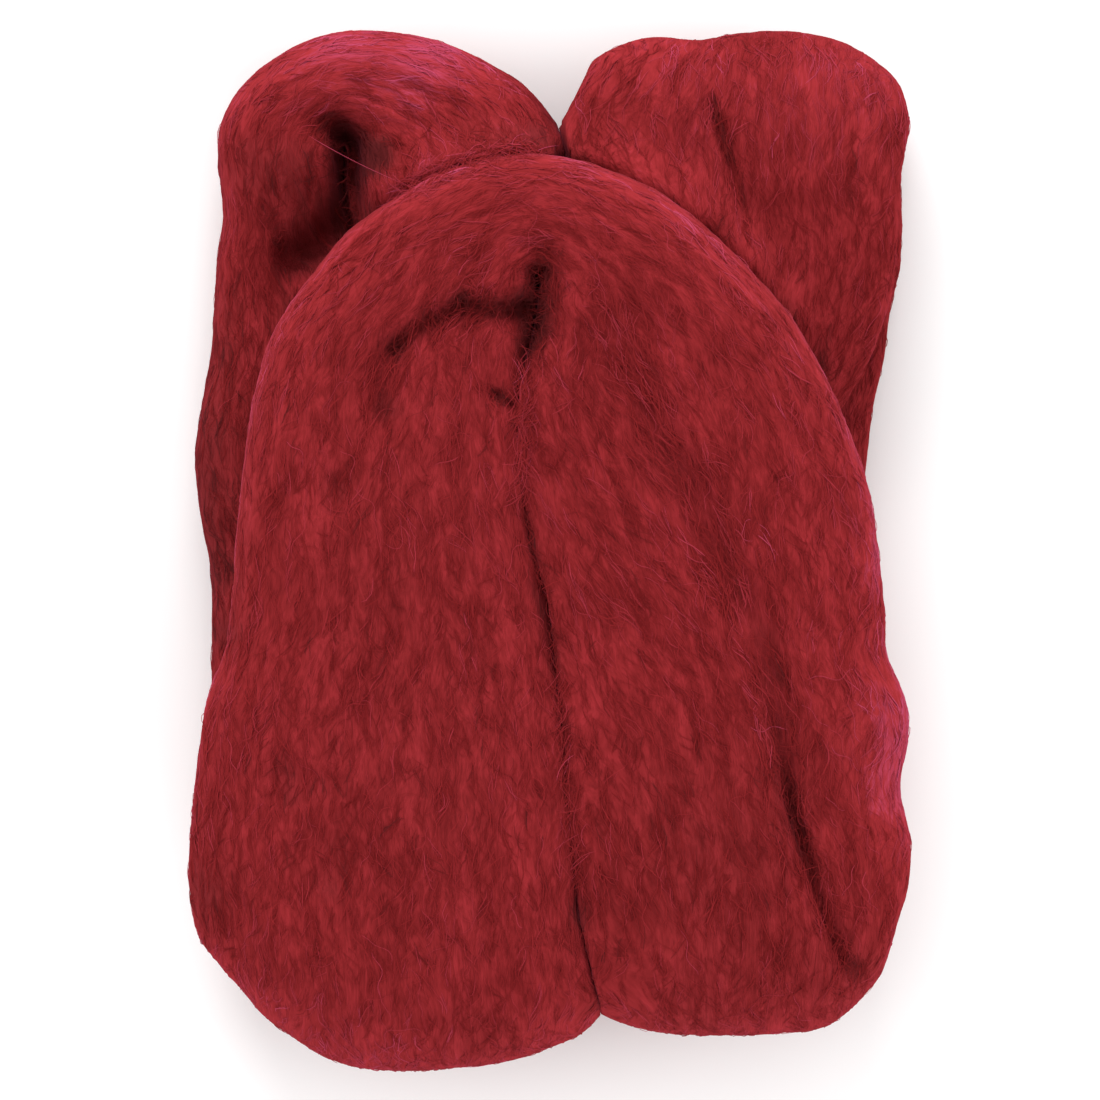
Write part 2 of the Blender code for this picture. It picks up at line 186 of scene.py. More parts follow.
FRONT_ARCH = each(
    Row,
    (-59.5, -54, 5.4, -63.2, 31.2, 17.4, -10.2), (-59.1, -45.5, 4.4, -52, 31.2, 20.2, -8),
    (-57.9, -35, 3.2, -38.5, 31, 22, -4), (-56.3, -25, 2, -26, 31, 22, -1.5),
    (-53.2, -16.5, 0.6, -16.5, 31, 22), (-52.1, -6.5, -1, -7.5, 31, 22),
    (-51.4, 3.5, -3.2, 3.5, 31, 22), (-50.1, 15.5, -4.7, 15.5, 31, 22),
    (-48.2, 26.8, -5.1, 25, 31, 22), (-44.7, 37, -4.7, 31.5, 31, 22),
    (-39.2, 45, -4.2, 36, 31.2, 22.5), (-32.7, 52.8, -3.8, 39.5, 31.4, 23),
    (-24.7, 58.4, -3.4, 42.3, 31.5, 23.5), (-16, 63.1, -2.9, 44.2, 31.5, 24),
    (-7.3, 65.4, -2.3, 45.3, 31.5, 24), (2, 65.3, -1.6, 45.6, 31.5, 24),
    (10.2, 63.2, -1.1, 45.2, 31.5, 24), (18.3, 59.7, -0.8, 44, 31.5, 23.5),
    (26.2, 54.1, -0.7, 42, 31.5, 23), (34.1, 46.6, -1, 39.2, 31.4, 22.8),
    (41.2, 38.4, -1.8, 36, 31.2, 22.5), (47.2, 27.9, -3.1, 31, 31, 22),
    (51.3, 18.5, -4.2, 24.5, 31, 22), (54.6, 8.5, -4.2, 16, 31, 22), (56.1, -1.5, -3.1, 6, 31, 22),
    (57, -11.5, -1, -4.5, 31, 22), (57, -19, 0.8, -14, 31, 22), (59.6, -26, 2.2, -22, 31, 22),
    (60.2, -32.5, 3.2, -31, 31, 22, -0.5), (58.9, -41, 4.2, -41, 31, 22, -1.5),
    (60.3, -49, 5.2, -51, 31, 20.8, -2.5), (60.3, -57.4, 6.1, -61.2, 31.2, 17.8, -3.6),
)
RIGHT_LEG = each(
    Row,
    (59, -57.4, 6.1, -61.2, 9.6, 17.8, -3.6), (57, -42, 6.7, -48, 10, 20.6, -2),
    (56, -28.5, 6.2, -34, 10, 22), (55, -16.5, 4.8, -21, 10, 22), (54.2, -8, 3.2, -11, 10, 22),
    (53.8, 0, 1.5, -1, 9.6, 20.8), (54, 8.5, 0.3, 8, 8.2, 17.2), (54.7, 16, -0.6, 17, 6.6, 13.6),
    (55.6, 23.5, -0.7, 25, 5.6, 11.6), (57.6, 32, 0.1, 32, 5.2, 10.8),
    (58.6, 39.5, 1.5, 38, 5.4, 11), (60.2, 46.5, 2.8, 45.5, 5.7, 11.6),
    (60.6, 53, 3.7, 54, 5.9, 12), (59.9, 59, 4.2, 62.5, 6.1, 12.4),
    (61, 66, 3.6, 67, 6.2, 12.5, 1.5), (61.5, 71, 2.9, 71, 6.2, 12.3, 2.2),
)
TOP_RIGHT_TAIL = each(
    Row,
    (61.5, 71, 2.9, 71, 20.8, 12.3, 2.2), (60, 62.5, 4.6, 62.5, 20.6, 12.6, 0.5),
    (60.2, 54, 6, 55, 19.4, 12.2), (59.4, 45.5, 7, 45.5, 17.8, 11),
    (56.9, 37, 8.5, 37, 16.6, 10.2), (53.8, 29.5, 10.5, 28.5, 16.2, 9),
    (49, 22, 13.5, 21, 16.8, 7), (43, 15.5, 17.5, 15, 18.2, 4.4),
    (37, 11.5, 23.5, 11.5, 19.2, 2.2),
)

# The runs in order along the strand, with the longest step between their sections, and the
# fold before each: the side of y that it stands out to, and how far each edge draws in.
RUNS = (
    Run(TOP_LEFT_CURL, "lower", 5.0),
    Run(LEFT_LEG, "lower", 7.0),
    Run(FRONT_ARCH, "upper", 4.9),
    Run(RIGHT_LEG, "lower", 7.0),
    Run(TOP_RIGHT_TAIL, "tail", 6.0),
)
FOLDS = (
    None,
    None,
    Fold(-1, 1.2, -3.0),
    Fold(-1, 2.5, 2.7),
    Fold(1, 1.2, 4.2),
)
TUFTS = each(Tuft, (45, 9, 0.55, 3.1), (16, 3.2, 0.40, 17.7), (6, 1.5, 0.20, 41.3))

# The broad creases, on the front and on the lower layer. Like the rows, they are placed from the
# strand's own origin.
FRONT_CREASES = [
    each(
        Crease,
        (-3.6, 40.2, 4, 2.6, 2), (-10, 39.8, 3.2, 3, 2), (-14.5, 39.8, 3.4, 3, 2),
        (-19.5, 37.6, 3, 3, 2), (-24, 34, 2.4, 3, 2.2), (-27.5, 30, 1.2, 3.4, 2.4),
    ),
    each(
        Crease,
        (8.5, 35.5, 1, 4, 4), (13, 30, 2.2, 4, 4.5), (17.5, 21.5, 2.4, 4, 5), (24, 10, 2.6, 4, 5),
        (29.5, 0, 2.8, 4, 5.5), (34.5, -10, 2.6, 3.4, 4.4), (37.4, -20, 2.4, 3, 3.2),
        (39.1, -33, 2.1, 2.5, 2.5), (41.3, -45, 1.9, 2.2, 2.3), (45.3, -58, 1.7, 2.2, 2.3),
        (49.7, -68.5, 1.5, 2.4, 2.4), (52.7, -74, 0.6, 2.6, 2.6),
    ),
]
LOBE_CREASES = [
    each(
        Crease,
        (24.5, 85, 0.6, 2.5, 2.5), (27.1, 78, 0.7, 2.2, 2.2), (29, 71.6, 0.7, 1.6, 1.6),
        (30.8, 65.2, 0.7, 1.6, 1.6), (32.4, 60.5, 0.9, 2.2, 2.2), (33.6, 56.5, 0.8, 2.4, 2.4),
        (33, 50, 0.2, 2.4, 2.4),
    ),
    each(
        Crease,
        (-37.5, 71, 2, 3, 2), (-33.8, 69, 6, 3, 2), (-32.4, 62.5, 6, 2.3, 2),
        (-32.6, 57.3, 4.6, 2.6, 2.2), (-34.2, 54, 7, 2.8, 2.6), (-37.2, 51, 8, 3, 3),
        (-40.8, 48.4, 8, 3, 3.6), (-44, 47.4, 5, 3, 3.6), (-46, 47.2, 1, 3, 3),
    ),
]

# Hollows pushed into the surface round a point, and swellings where the depth is negative.
DENTS = each(
    Dent,
    (-26.3, 22.9, 42, 4, 2), (-34.5, 9.8, 42, 4, 2), (-43.5, -40, 42, 4.5, 1.6),
    (-37, -54, 42, 5, 1.5), (-7.5, 25, 42, 2.4, 1.2), (-41.5, 63, 26, 6, -2.6),
    (-52.5, -72, 20.5, 6, 1.8), (-53.6, -70.2, 20.5, 4, 2.3), (47, -79, 20.6, 6.5, -1.4),
    (-59.3, -60, 27, 6.5, -0.5), (-34.9, -86, 20.5, 7, -0.9), (-14, -87.5, 20.5, 7, 0.8),
    (28, -81.5, 20.5, 9, 0.5), (26.1, 85.5, 13.5, 5, 1), (17.5, 85, 13.5, 5.5, -0.5),
    (43, 85, 13.5, 8, -0.8), (57, 81.5, 13.5, 5, 0.8), (60, 77.8, 13.5, 4.5, 1.1),
    (6.5, -80, 20.6, 6, -1.6), (59, -25, 34, 9, -1), (60.5, -49, 34, 10, -1),
)

# Narrow cores of the creases, which only the fine surface can hold. Where the depth is negative,
# loose fibre fills a crease or the gap beside the arch.
FINE_CREASES = [
    each(
        Crease,
        (-0.2, 51.5, 0.2, 2.4, 2.4), (-0.5, 46.5, 3.8, 2.8, 2.8), (-0.8, 41, 8, 3, 2.8),
        (-1.4, 36.5, 8, 3, 2.6), (-2.7, 32.5, 4.5, 2.2, 2), (-4.2, 28, 1.2, 1.4, 1.4),
    ),
    each(
        Crease,
        (-4.6, 39.8, 2.6, 1.4, 1.2), (-9.2, 39.7, 1.8, 1.4, 1.2), (-13.7, 40.9, 2.6, 1.8, 1.2),
        (-17.6, 38.6, 1.6, 1.4, 1.2), (-22.2, 35.6, 0.8, 1.2, 1.2), (-25, 33, 2.8, 1.6, 1.4),
        (-26.8, 31.2, 0.3, 1.2, 1.2),
    ),
    each(
        Crease,
        (38.1, -24, 0.2, 1.4, 1.4), (39.5, -34, 2.1, 1.2, 1.2), (40.8, -41, 3.7, 1.1, 1.1),
        (42.3, -46.8, 4.4, 1, 1), (44.5, -54, 3, 0.9, 0.9), (46.7, -61.4, 2.2, 0.9, 0.9),
        (49.7, -68.3, 2.1, 0.9, 1), (52.3, -71.5, 1.2, 1.1, 1.1),
    ),
    each(
        Crease,
        (-9.8, 26.5, 0, 0.8, 0.8), (-8.4, 25.4, 3.6, 0.8, 0.8), (-6.4, 24, 2.6, 0.7, 0.7),
        (-5.2, 23.2, 0, 0.8, 0.8),
    ),
    each(
        Crease,
        (-0.6, 47.5, 0, 1.2, 1.2), (-0.8, 45.6, 2.6, 1.8, 1.8), (-1.2, 41.4, 7, 2.1, 2.1),
        (-1.6, 38, 7, 2.1, 2.1), (-2.1, 35, 5.6, 1.9, 1.9), (-3.2, 31.3, 1.2, 1.2, 1.2),
    ),
    each(
        Crease,
        (1.2, -17, 0, 1.8, 1.8), (2, -24, -1.6, 2, 2), (2.9, -34, -2.2, 2.2, 2.2),
        (4.2, -45, -2.2, 2.2, 2.2), (4.9, -54, -1.2, 2, 2), (5.3, -58, 0, 1.8, 1.8),
    ),
    each(
        Crease,
        (-3.9, 29, 0, 1.6, 1.6), (-4.3, 25.5, -2.6, 2, 2), (-4.4, 18, -3, 2.1, 2.1),
        (-3.9, 10, -2.6, 2, 2), (-3.1, 4.5, 0, 1.6, 1.6),
    ),
]
FINE_LOBE_CREASES = [
    each(
        Crease,
        (-29.4, 55.2, 0, 4, 4), (-23.6, 58.9, -8, 4.4, 4.4), (-15.2, 63.3, -12, 4.4, 4.4),
        (-5, 65.5, -12, 4.4, 4.4), (1, 65.4, -7, 4.2, 4.2),
    ),
    each(
        Crease,
        (3.6, 65, -3, 4.4, 4.4), (10.2, 63.2, -8, 4.8, 4.8), (18.3, 59.7, -9, 4.8, 4.8),
        (26.2, 54.1, -9, 4.8, 4.8), (34.1, 46.6, -6.5, 4.6, 4.6), (41.2, 38.4, -3, 4.2, 4.2),
        (45.8, 31, 0, 3.8, 3.8),
    ),
    each(
        Crease,
        (27.2, 78.3, 0.2, 0.9, 0.9), (28.2, 75, 1.2, 0.8, 0.8), (29, 71.6, 1.9, 0.8, 0.8),
        (29.8, 68.3, 1.9, 0.8, 0.8), (30.8, 65.2, 1.4, 0.8, 0.8), (32.2, 61, 0.6, 1.2, 1.2),
        (33.7, 57.8, 0.8, 1.4, 1.4), (33.2, 53.1, 0.2, 1.2, 1.2),
    ),
    each(
        Crease,
        (-38.5, 71.8, 1, 1.6, 1.6), (-35.2, 71, 4.5, 2, 2), (-33, 68, 6.5, 2.3, 2.3),
        (-32.6, 63.5, 4.2, 1.5, 1.5), (-33, 58.5, 0.8, 1.2, 1.2),
    ),
]

# The crease down the middle of the front, from the pit to the bottom folds. This and all that
# follows is placed from the middle of the bundle, as the finished pieces are.
MIDDLE_WELD = each(
    Weld,
    (-1.1, 47.6, 0, 3), (-1.3, 45.6, 1.7, 3.6), (-1.6, 43.8, 2.8, 3.8), (-1.9, 42, 3.4, 3.8),
    (-2.4, 38, 3.4, 3.8), (-3.1, 34.5, 2.8, 3.6), (-4.2, 31.5, 2.2, 3.2), (-4.9, 28, 1.8, 3),
    (-5.3, 20, 1.8, 3), (-4.8, 10, 1.5, 2.6), (-4, 5.5, 0.9, 2), (-3.1, 1, 0.9, 2),
    (-1.5, -3.8, 1.7, 2.2), (-0.2, -8, 2.1, 2.4), (0.4, -13, 1.8, 2.3), (1, -19, 1.2, 2.1),
    (1.5, -25, 1.2, 2.2), (2.1, -34, 1.5, 2.6), (3.35, -45, 1.6, 2.6), (4.2, -55, 1, 2.2),
    (4.8, -60, 0.3, 2), (5.4, -64, 0.3, 2), (6.3, -68, 0, 2.4),
)

# The notch between the two top lobes.
NOTCH_WELD = each(
    Weld,
    (1.4, 72.5, 0, 2), (1.7, 71, 0.8, 2.2), (2.2, 69, 1.2, 2.4), (2.6, 67, 1.3, 2.4),
    (2.8, 62, 0, 2),
)

# The gap between the bottom folds, which bulge until they touch.
FOLD_WELD = each(
    Weld,
    (4.4, -57, 0, 2), (4.9, -61, 0.5, 2), (6.3, -67, 1.3, 2.8), (7.2, -71, 2.8, 4),
    (8, -74, 4.8, 5.4), (8.4, -76, 3.6, 5.4), (8.7, -78.5, 0.5, 5.6), (9, -83, 0, 6),
)

# The lower layer's gaps, closed from the floor up so that nothing shows through them.
LOWER_WELDS = [
    each(
        Weld,
        (-4.6, 8, 1.2, 4), (-2.9, 0, 1.4, 4), (0.9, -10, 1.4, 4), (3.9, -22, 1.4, 4),
        (5.4, -37, 1.2, 4), (5.2, -52, 1.2, 4), (5.6, -62, 1.2, 4),
    ),
    each(
        Weld,
        (-34.4, 74, 0, 4), (-34.6, 71, 1.6, 4), (-34.9, 62, 1.6, 4), (-34, 57, 1.6, 4),
        (-31.6, 51.2, 1.6, 4), (-27.2, 45.8, 1.6, 4), (-22, 39.2, 1.6, 4),
    ),
]

# Places where the loose fibre and the body under it stand lighter or darker than round about:
# partly painted shade and painted light, partly tone that differs.
LIGHT_SHADE_AND_TONE = each(
    Spot,
    (-31, 80, 14, 0.22), (-13, 77, 11, 0.16), (-20, 82, 7, 0.26), (-37, 86, 6, 0.16),
    (-13.5, 71, 6.5, -0.28), (-26.9, 60.4, 2.2, 0.14), (-21.7, 63, 2.4, 0.14),
    (-17.3, 65.2, 2.4, 0.12), (-12.9, 66.6, 2.4, 0.08), (-4, 69, 3.4, -0.34), (-9, 69, 3.5, -0.16),
    (10, 65.6, 2.6, 0.08), (15.5, 63.3, 2.6, 0.08), (20.5, 60.3, 2.6, 0.08),
    (25.3, 56.9, 2.6, 0.06), (-33.9, 66, 2.8, 0.50), (-37.6, 62, 3, 0.24),
    (-33.4, 58.5, 1.8, 0.16), (-39.5, 50.8, 4.5, 0.18), (28, 72.7, 1, -0.15), (29, 69.2, 1, -0.18),
    (29.9, 66.4, 1, -0.14), (33, 58.5, 2.4, -0.12), (-54.6, -14, 3.6, -0.36),
    (-59.5, -30, 5, -0.08), (-60, -44, 6, -0.12), (-59, -57, 6, -0.32), (25, -80.5, 8, -0.12),
    (50.5, -73.5, 8, -0.16), (-12, -84.5, 7, -0.10), (-28.5, -84.5, 6, 0.12), (35.4, 86, 7, -0.10),
    (-41.7, 63.5, 6, -0.28), (-29.2, 66.6, 3.4, -0.95), (21, 78, 13, 0.12), (46, 78, 14, 0.16),
    (0, 61, 15, 0.08), (-59, 33, 7, -0.30), (-59.5, 20, 7, -0.34), (-59.5, 8, 7, -0.36),
    (-58.5, -4, 6, -0.44), (58.5, -27, 8, 0.32), (59, -41, 8, 0.26), (57.8, -32.6, 4, 0.10),
    (54.6, -1.5, 5, 0.28), (53.4, 7, 4, 0.14), (-55.5, 42, 4, -0.14), (-53.5, 74, 4.5, 0.14),
    (55.2, -15, 4, 0.10), (57, 76, 5, 0.12), (57, 42, 3.5, 0.16), (50.8, 17.5, 4, 0.12),
    (24, 54.5, 4.5, 0.12), (31, 47.5, 4.5, 0.10), (-17, 61.5, 4, 0.08), (10.5, 80.5, 6, -0.03),
    (-27, -2, 24, -0.06), (-27, -42, 24, -0.05), (27, -52, 22, -0.11), (-51, 66, 7, -0.16),
    (-1.6, 69.2, 2.2, -0.36), (-27, 23.7, 2, -0.32), (-35.4, 10.4, 2.2, -0.26),
    (-43.6, -36, 1.8, -0.16), (-43.6, -40.5, 2, -0.20), (-35.6, -49.5, 1.8, -0.16),
    (-36.3, -56, 2, -0.20), (-7.6, 25.6, 1, -0.40), (-25.7, 33.8, 1.9, -0.44),
    (-20.6, 38.4, 1.8, -0.12), (-14.4, 41.6, 2, -0.34), (-9.8, 40.7, 1.8, -0.26),
    (-1.2, 45, 1.8, -0.24), (-0.7, 47.4, 1.5, -0.22), (-0.7, 49.8, 1.5, -0.16),
    (-2, 40.5, 2.3, -0.60), (-2.6, 36.5, 2.2, -0.60), (-3.5, 33, 1.6, -0.35),
    (36, -14, 2.4, -0.16), (37.5, -20.5, 2.2, -0.18), (38.6, -29, 1.7, -0.14),
    (39.7, -37.5, 1.4, -0.22), (41.1, -45, 1.3, -0.28), (43.8, -54, 1.1, -0.20),
    (50.9, -69.8, 1.8, -0.26), (-4.4, 29, 2, 0.26), (-4.9, 24.5, 2, 0.30), (-5.1, 20, 2, 0.24),
    (-5, 15.5, 2, 0.20), (-4.6, 11.5, 2, 0.18), (1.6, -28, 2.6, 0.14), (2.5, -37, 2.6, 0.14),
    (3.6, -47, 2.6, 0.14), (4.9, -61, 1.5, -0.34), (20.5, 15, 4, -0.10),
)

# Places on the front where fibres turn off the strand's own direction, in degrees.
FRONT_LAY = each(
    Spot,
    (11, 23, 13, 30), (16, 4, 14, 30), (19, -17, 14, 22), (24, -38, 15, 13), (38, -40, 12, 12),
    (46, -60, 12, 12), (-22, 22, 9, -12), (-12, 30, 7, 14),
)


class Surface:
    """A grid of points on the wool: stations along the strand and places round it."""

    def __init__(self, points: np.ndarray, layers: Sequence[str], deep: np.ndarray) -> None:
        """Keep the grid and work out its directions and its place along and round the strand.

        Args:
            points: Stations by places round by three, in millimetres.
            layers: The layer that each station lies in.
            deep: How far down in a crease each point is, from 0 to 1, which sets its painted crease
                shade.
        """
        self.points = points
        self.layers = np.array(layers)
        self.deep = deep
        self.normals = ring_normals(points)
        self.step_along = np.linalg.norm(np.gradient(points, axis=0), axis=2)
        around = (np.roll(points, -1, axis=1) - np.roll(points, 1, axis=1)) / 2
        self.step_round = np.linalg.norm(around, axis=2)

    @property
    def shape(self) -> tuple[int, int]:
        """The number of stations and of places round."""
        return self.points.shape[:2]

    def changes(self, spots: Sequence[Spot], scale: float) -> np.ndarray:
        """Add up how much some spots change each point, times a scale."""
        total = np.zeros(self.shape)
        for spot in spots:
            away = np.hypot(self.points[:, :, 0] - spot.x, self.points[:, :, 1] - spot.y)
            total += spot.change * scale * np.exp(-(away / spot.radius) ** 2)
        return total

    def light_shade_and_tone(self) -> np.ndarray:
        """Give how much lighter or darker than usual the fibre is painted at each point: partly
        painted shade and painted light, partly tone that differs.
        """
        return self.changes(LIGHT_SHADE_AND_TONE, 1.0) * np.clip(self.normals[:, :, 2] + PATCH_TILT, 0, 1)

    def turns(self) -> np.ndarray:
        """Give how far fibres turn off the strand's direction at each point, in radians."""
        upper = np.isin(self.layers, ("upper", "fold"))[:, None] & (self.normals[:, :, 2] > 0)
        return self.changes(FRONT_LAY, math.pi / 180) * upper

    def grain(self) -> np.ndarray:
        """Give each point's place along the fibres and across them, on a cylinder of its girth.

        Returns:
            Stations by places round by three, in millimetres.
        """
        stations, around = self.shape
        along = np.cumsum(self.step_along.mean(axis=1))
        girth = self.step_round.sum(axis=1)
        radius = np.maximum(girth[:, None] / (2 * math.pi), 1.0)
        drift = np.cumsum(np.tan(self.turns() * DRIFT_SHARE) * self.step_along, axis=0)
        turn = np.arange(around) * 2 * math.pi / around - drift / radius
        return np.stack((
            np.repeat(along[:, None], around, axis=1),
            radius * np.cos(turn),
            radius * np.sin(turn),
        ), axis=2)

    def sample(self, grid: np.ndarray, along: np.ndarray, around: np.ndarray) -> np.ndarray:
        """Read a grid between its points, round the seam where need be.

        Args:
            grid: Stations by places round, with or without a last axis.
            along: Places along, in stations.
            around: Places round, in points.

        Returns:
            The values there, shaped like the places.
        """
        stations, count = self.shape
        along = np.clip(along, 0, stations - 1.001)
        low = along.astype(int)
        left = np.floor(around).astype(int)
        up, side = along - low, around - left
        if grid.ndim == 3:
            up, side = up[..., None], side[..., None]
        left, right = left % count, (left + 1) % count
        near = grid[low, left] * (1 - side) + grid[low, right] * side
        far = grid[low + 1, left] * (1 - side) + grid[low + 1, right] * side
        return near * (1 - up) + far * up


def unit(vectors: np.ndarray) -> np.ndarray:
    """Scale vectors to length one."""
    return vectors / np.maximum(np.linalg.norm(vectors, axis=-1, keepdims=True), 1e-9)


def ring_normals(rings: np.ndarray) -> np.ndarray:
    """Give the outward direction at each point of the rings."""
    along = np.gradient(rings, axis=0)
    around = np.roll(rings, -1, axis=1) - np.roll(rings, 1, axis=1)
    return unit(np.cross(along, around))


def rim_highlight_share(up: np.ndarray, height: np.ndarray, openness: np.ndarray) -> np.ndarray:
    """Give how far places stand on a rim that light falls through, from 0 to 1, which sets their
    painted highlight.

    Args:
        up: How far each place faces up, from -1 to 1.
        height: Its height in millimetres.
        openness: How open it is to the light, from 0 to 1.

    Returns:
        The shares, shaped like the places.
    """
    share = 1 - np.clip(up, 0, 1)
    for values, (low, high) in ((openness, OPEN_RIM), (height, HIGH_RIM)):
        share = share * np.clip((values - low) / (high - low), 0, 1)
    return share


def drawn_noise(grain: np.ndarray, length: float, width: float, seed: float) -> np.ndarray:
    """Give smooth noise that is drawn out along the strand.

    Args:
        grain: Places along and round the strand, with a last axis of three.
        length: Size of a patch along the strand, in millimetres.
        width: Size of a patch across it, in millimetres.
        seed: Moves the pattern, so that two noises differ.

    Returns:
        Values of about -1 to 1, shaped like the places.
    """
    places = (grain / (length, width, width) + seed).reshape(-1, 3)
    swayed = (places * SWAY_PITCH + SWAY_SEED).tolist()
    places = places + SWAY * np.array([noise.noise_vector(Vector(place)) for place in swayed])
    values = [noise.noise(Vector(place)) for place in places.tolist()]
    return np.array(values).reshape(grain.shape[:-1])


def smooth_through(keys: np.ndarray, rows: np.ndarray, wanted: np.ndarray) -> np.ndarray:
    """Read a smooth curve through the rows at the wanted keys.

    Args:
        keys: Where each row stands.
        rows: One row of numbers for each key.
        wanted: Where to read them.

    Returns:
        One row of numbers for each place wanted.
    """
    slopes = np.gradient(rows, keys, axis=0)
    rise = np.diff(rows, axis=0)
    slopes[1:-1][(rise[:-1] * rise[1:] <= 0) & LEVEL_COLUMNS] = 0
    index = np.clip(np.searchsorted(keys, wanted, side="right") - 1, 0, len(keys) - 2)
    span = (keys[index + 1] - keys[index])[:, None]
    t = (wanted - keys[index])[:, None] / span
    low, high = rows[index], rows[index + 1]
    return (
        (2 * t ** 3 - 3 * t ** 2 + 1) * low + (t ** 3 - 2 * t ** 2 + t) * span * slopes[index]
        + (3 * t ** 2 - 2 * t ** 3) * high + (t ** 3 - t ** 2) * span * slopes[index + 1]
    )


def nearest_on_path(points: np.ndarray, path: np.ndarray) -> tuple[np.ndarray, np.ndarray]:
    """Find the nearest place on a path for each plan point.

    Args:
        points: Plan points.
        path: The path's corners.

    Returns:
        The distances, which are positive to the left of the path, and the places as fractions
        of the way through the path's corners.
    """
    start, step = path[:-1], np.diff(path, axis=0)
    distances, places = [], []
    for part in np.array_split(points, len(points) // 5000 + 1):
        offset = part[:, None, :] - start
        share = np.clip((offset * step).sum(axis=2) / (step ** 2).sum(axis=1), 0, 1)
        away = offset - step * share[:, :, None]
        distance = np.linalg.norm(away, axis=2)
        best = distance.argmin(axis=1)
        row = np.arange(len(part))
        turn = step[best, 0] * away[row, best, 1] - step[best, 1] * away[row, best, 0]
        distances.append(distance[row, best] * np.where(turn >= 0, 1, -1))
        places.append(best + share[row, best])
    return np.concatenate(distances), np.concatenate(places)


def read_path(points: np.ndarray, path: Sequence[tuple]) -> tuple[np.ndarray, ...]:
    """Read what a path's corners say at the nearest place on it to each plan point.

    Args:
        points: Plan points.
        path: The path's corners: x, y and the other numbers to read.

    Returns:
        The distances and places, as nearest_on_path gives them, and then each other number.
    """
    rows = np.array(path)
    distance, place = nearest_on_path(points, rows[:, :2])
    corners = np.arange(len(rows))
    return distance, place, *(np.interp(place, corners, column) for column in rows.T[2:])


def crease_depth(points: np.ndarray, crease: Sequence[Crease]) -> np.ndarray:
    """Give how deep one crease goes at each plan point."""
    distance, _, depth, left, right = read_path(points, crease)
    width = np.where(distance > 0, left, right)
    return depth * np.exp(-(distance / width) ** 2)


def place_in_scene(name: str, data: bpy.types.ID) -> bpy.types.Object:
    """Make an object of some data and put it in the scene."""
    obj = bpy.data.objects.new(name, data)
    bpy.context.scene.collection.objects.link(obj)
    return obj


def principled(name: str, values: dict) -> tuple[bpy.types.Material, bpy.types.Node]:
    """Make a material with these values on its shader, and give both."""
    made = bpy.data.materials.new(name)
    made.use_nodes = True
    shader = made.node_tree.nodes["Principled BSDF"]
    for socket, value in values.items():
        shader.inputs[socket].default_value = value
    return made, shader


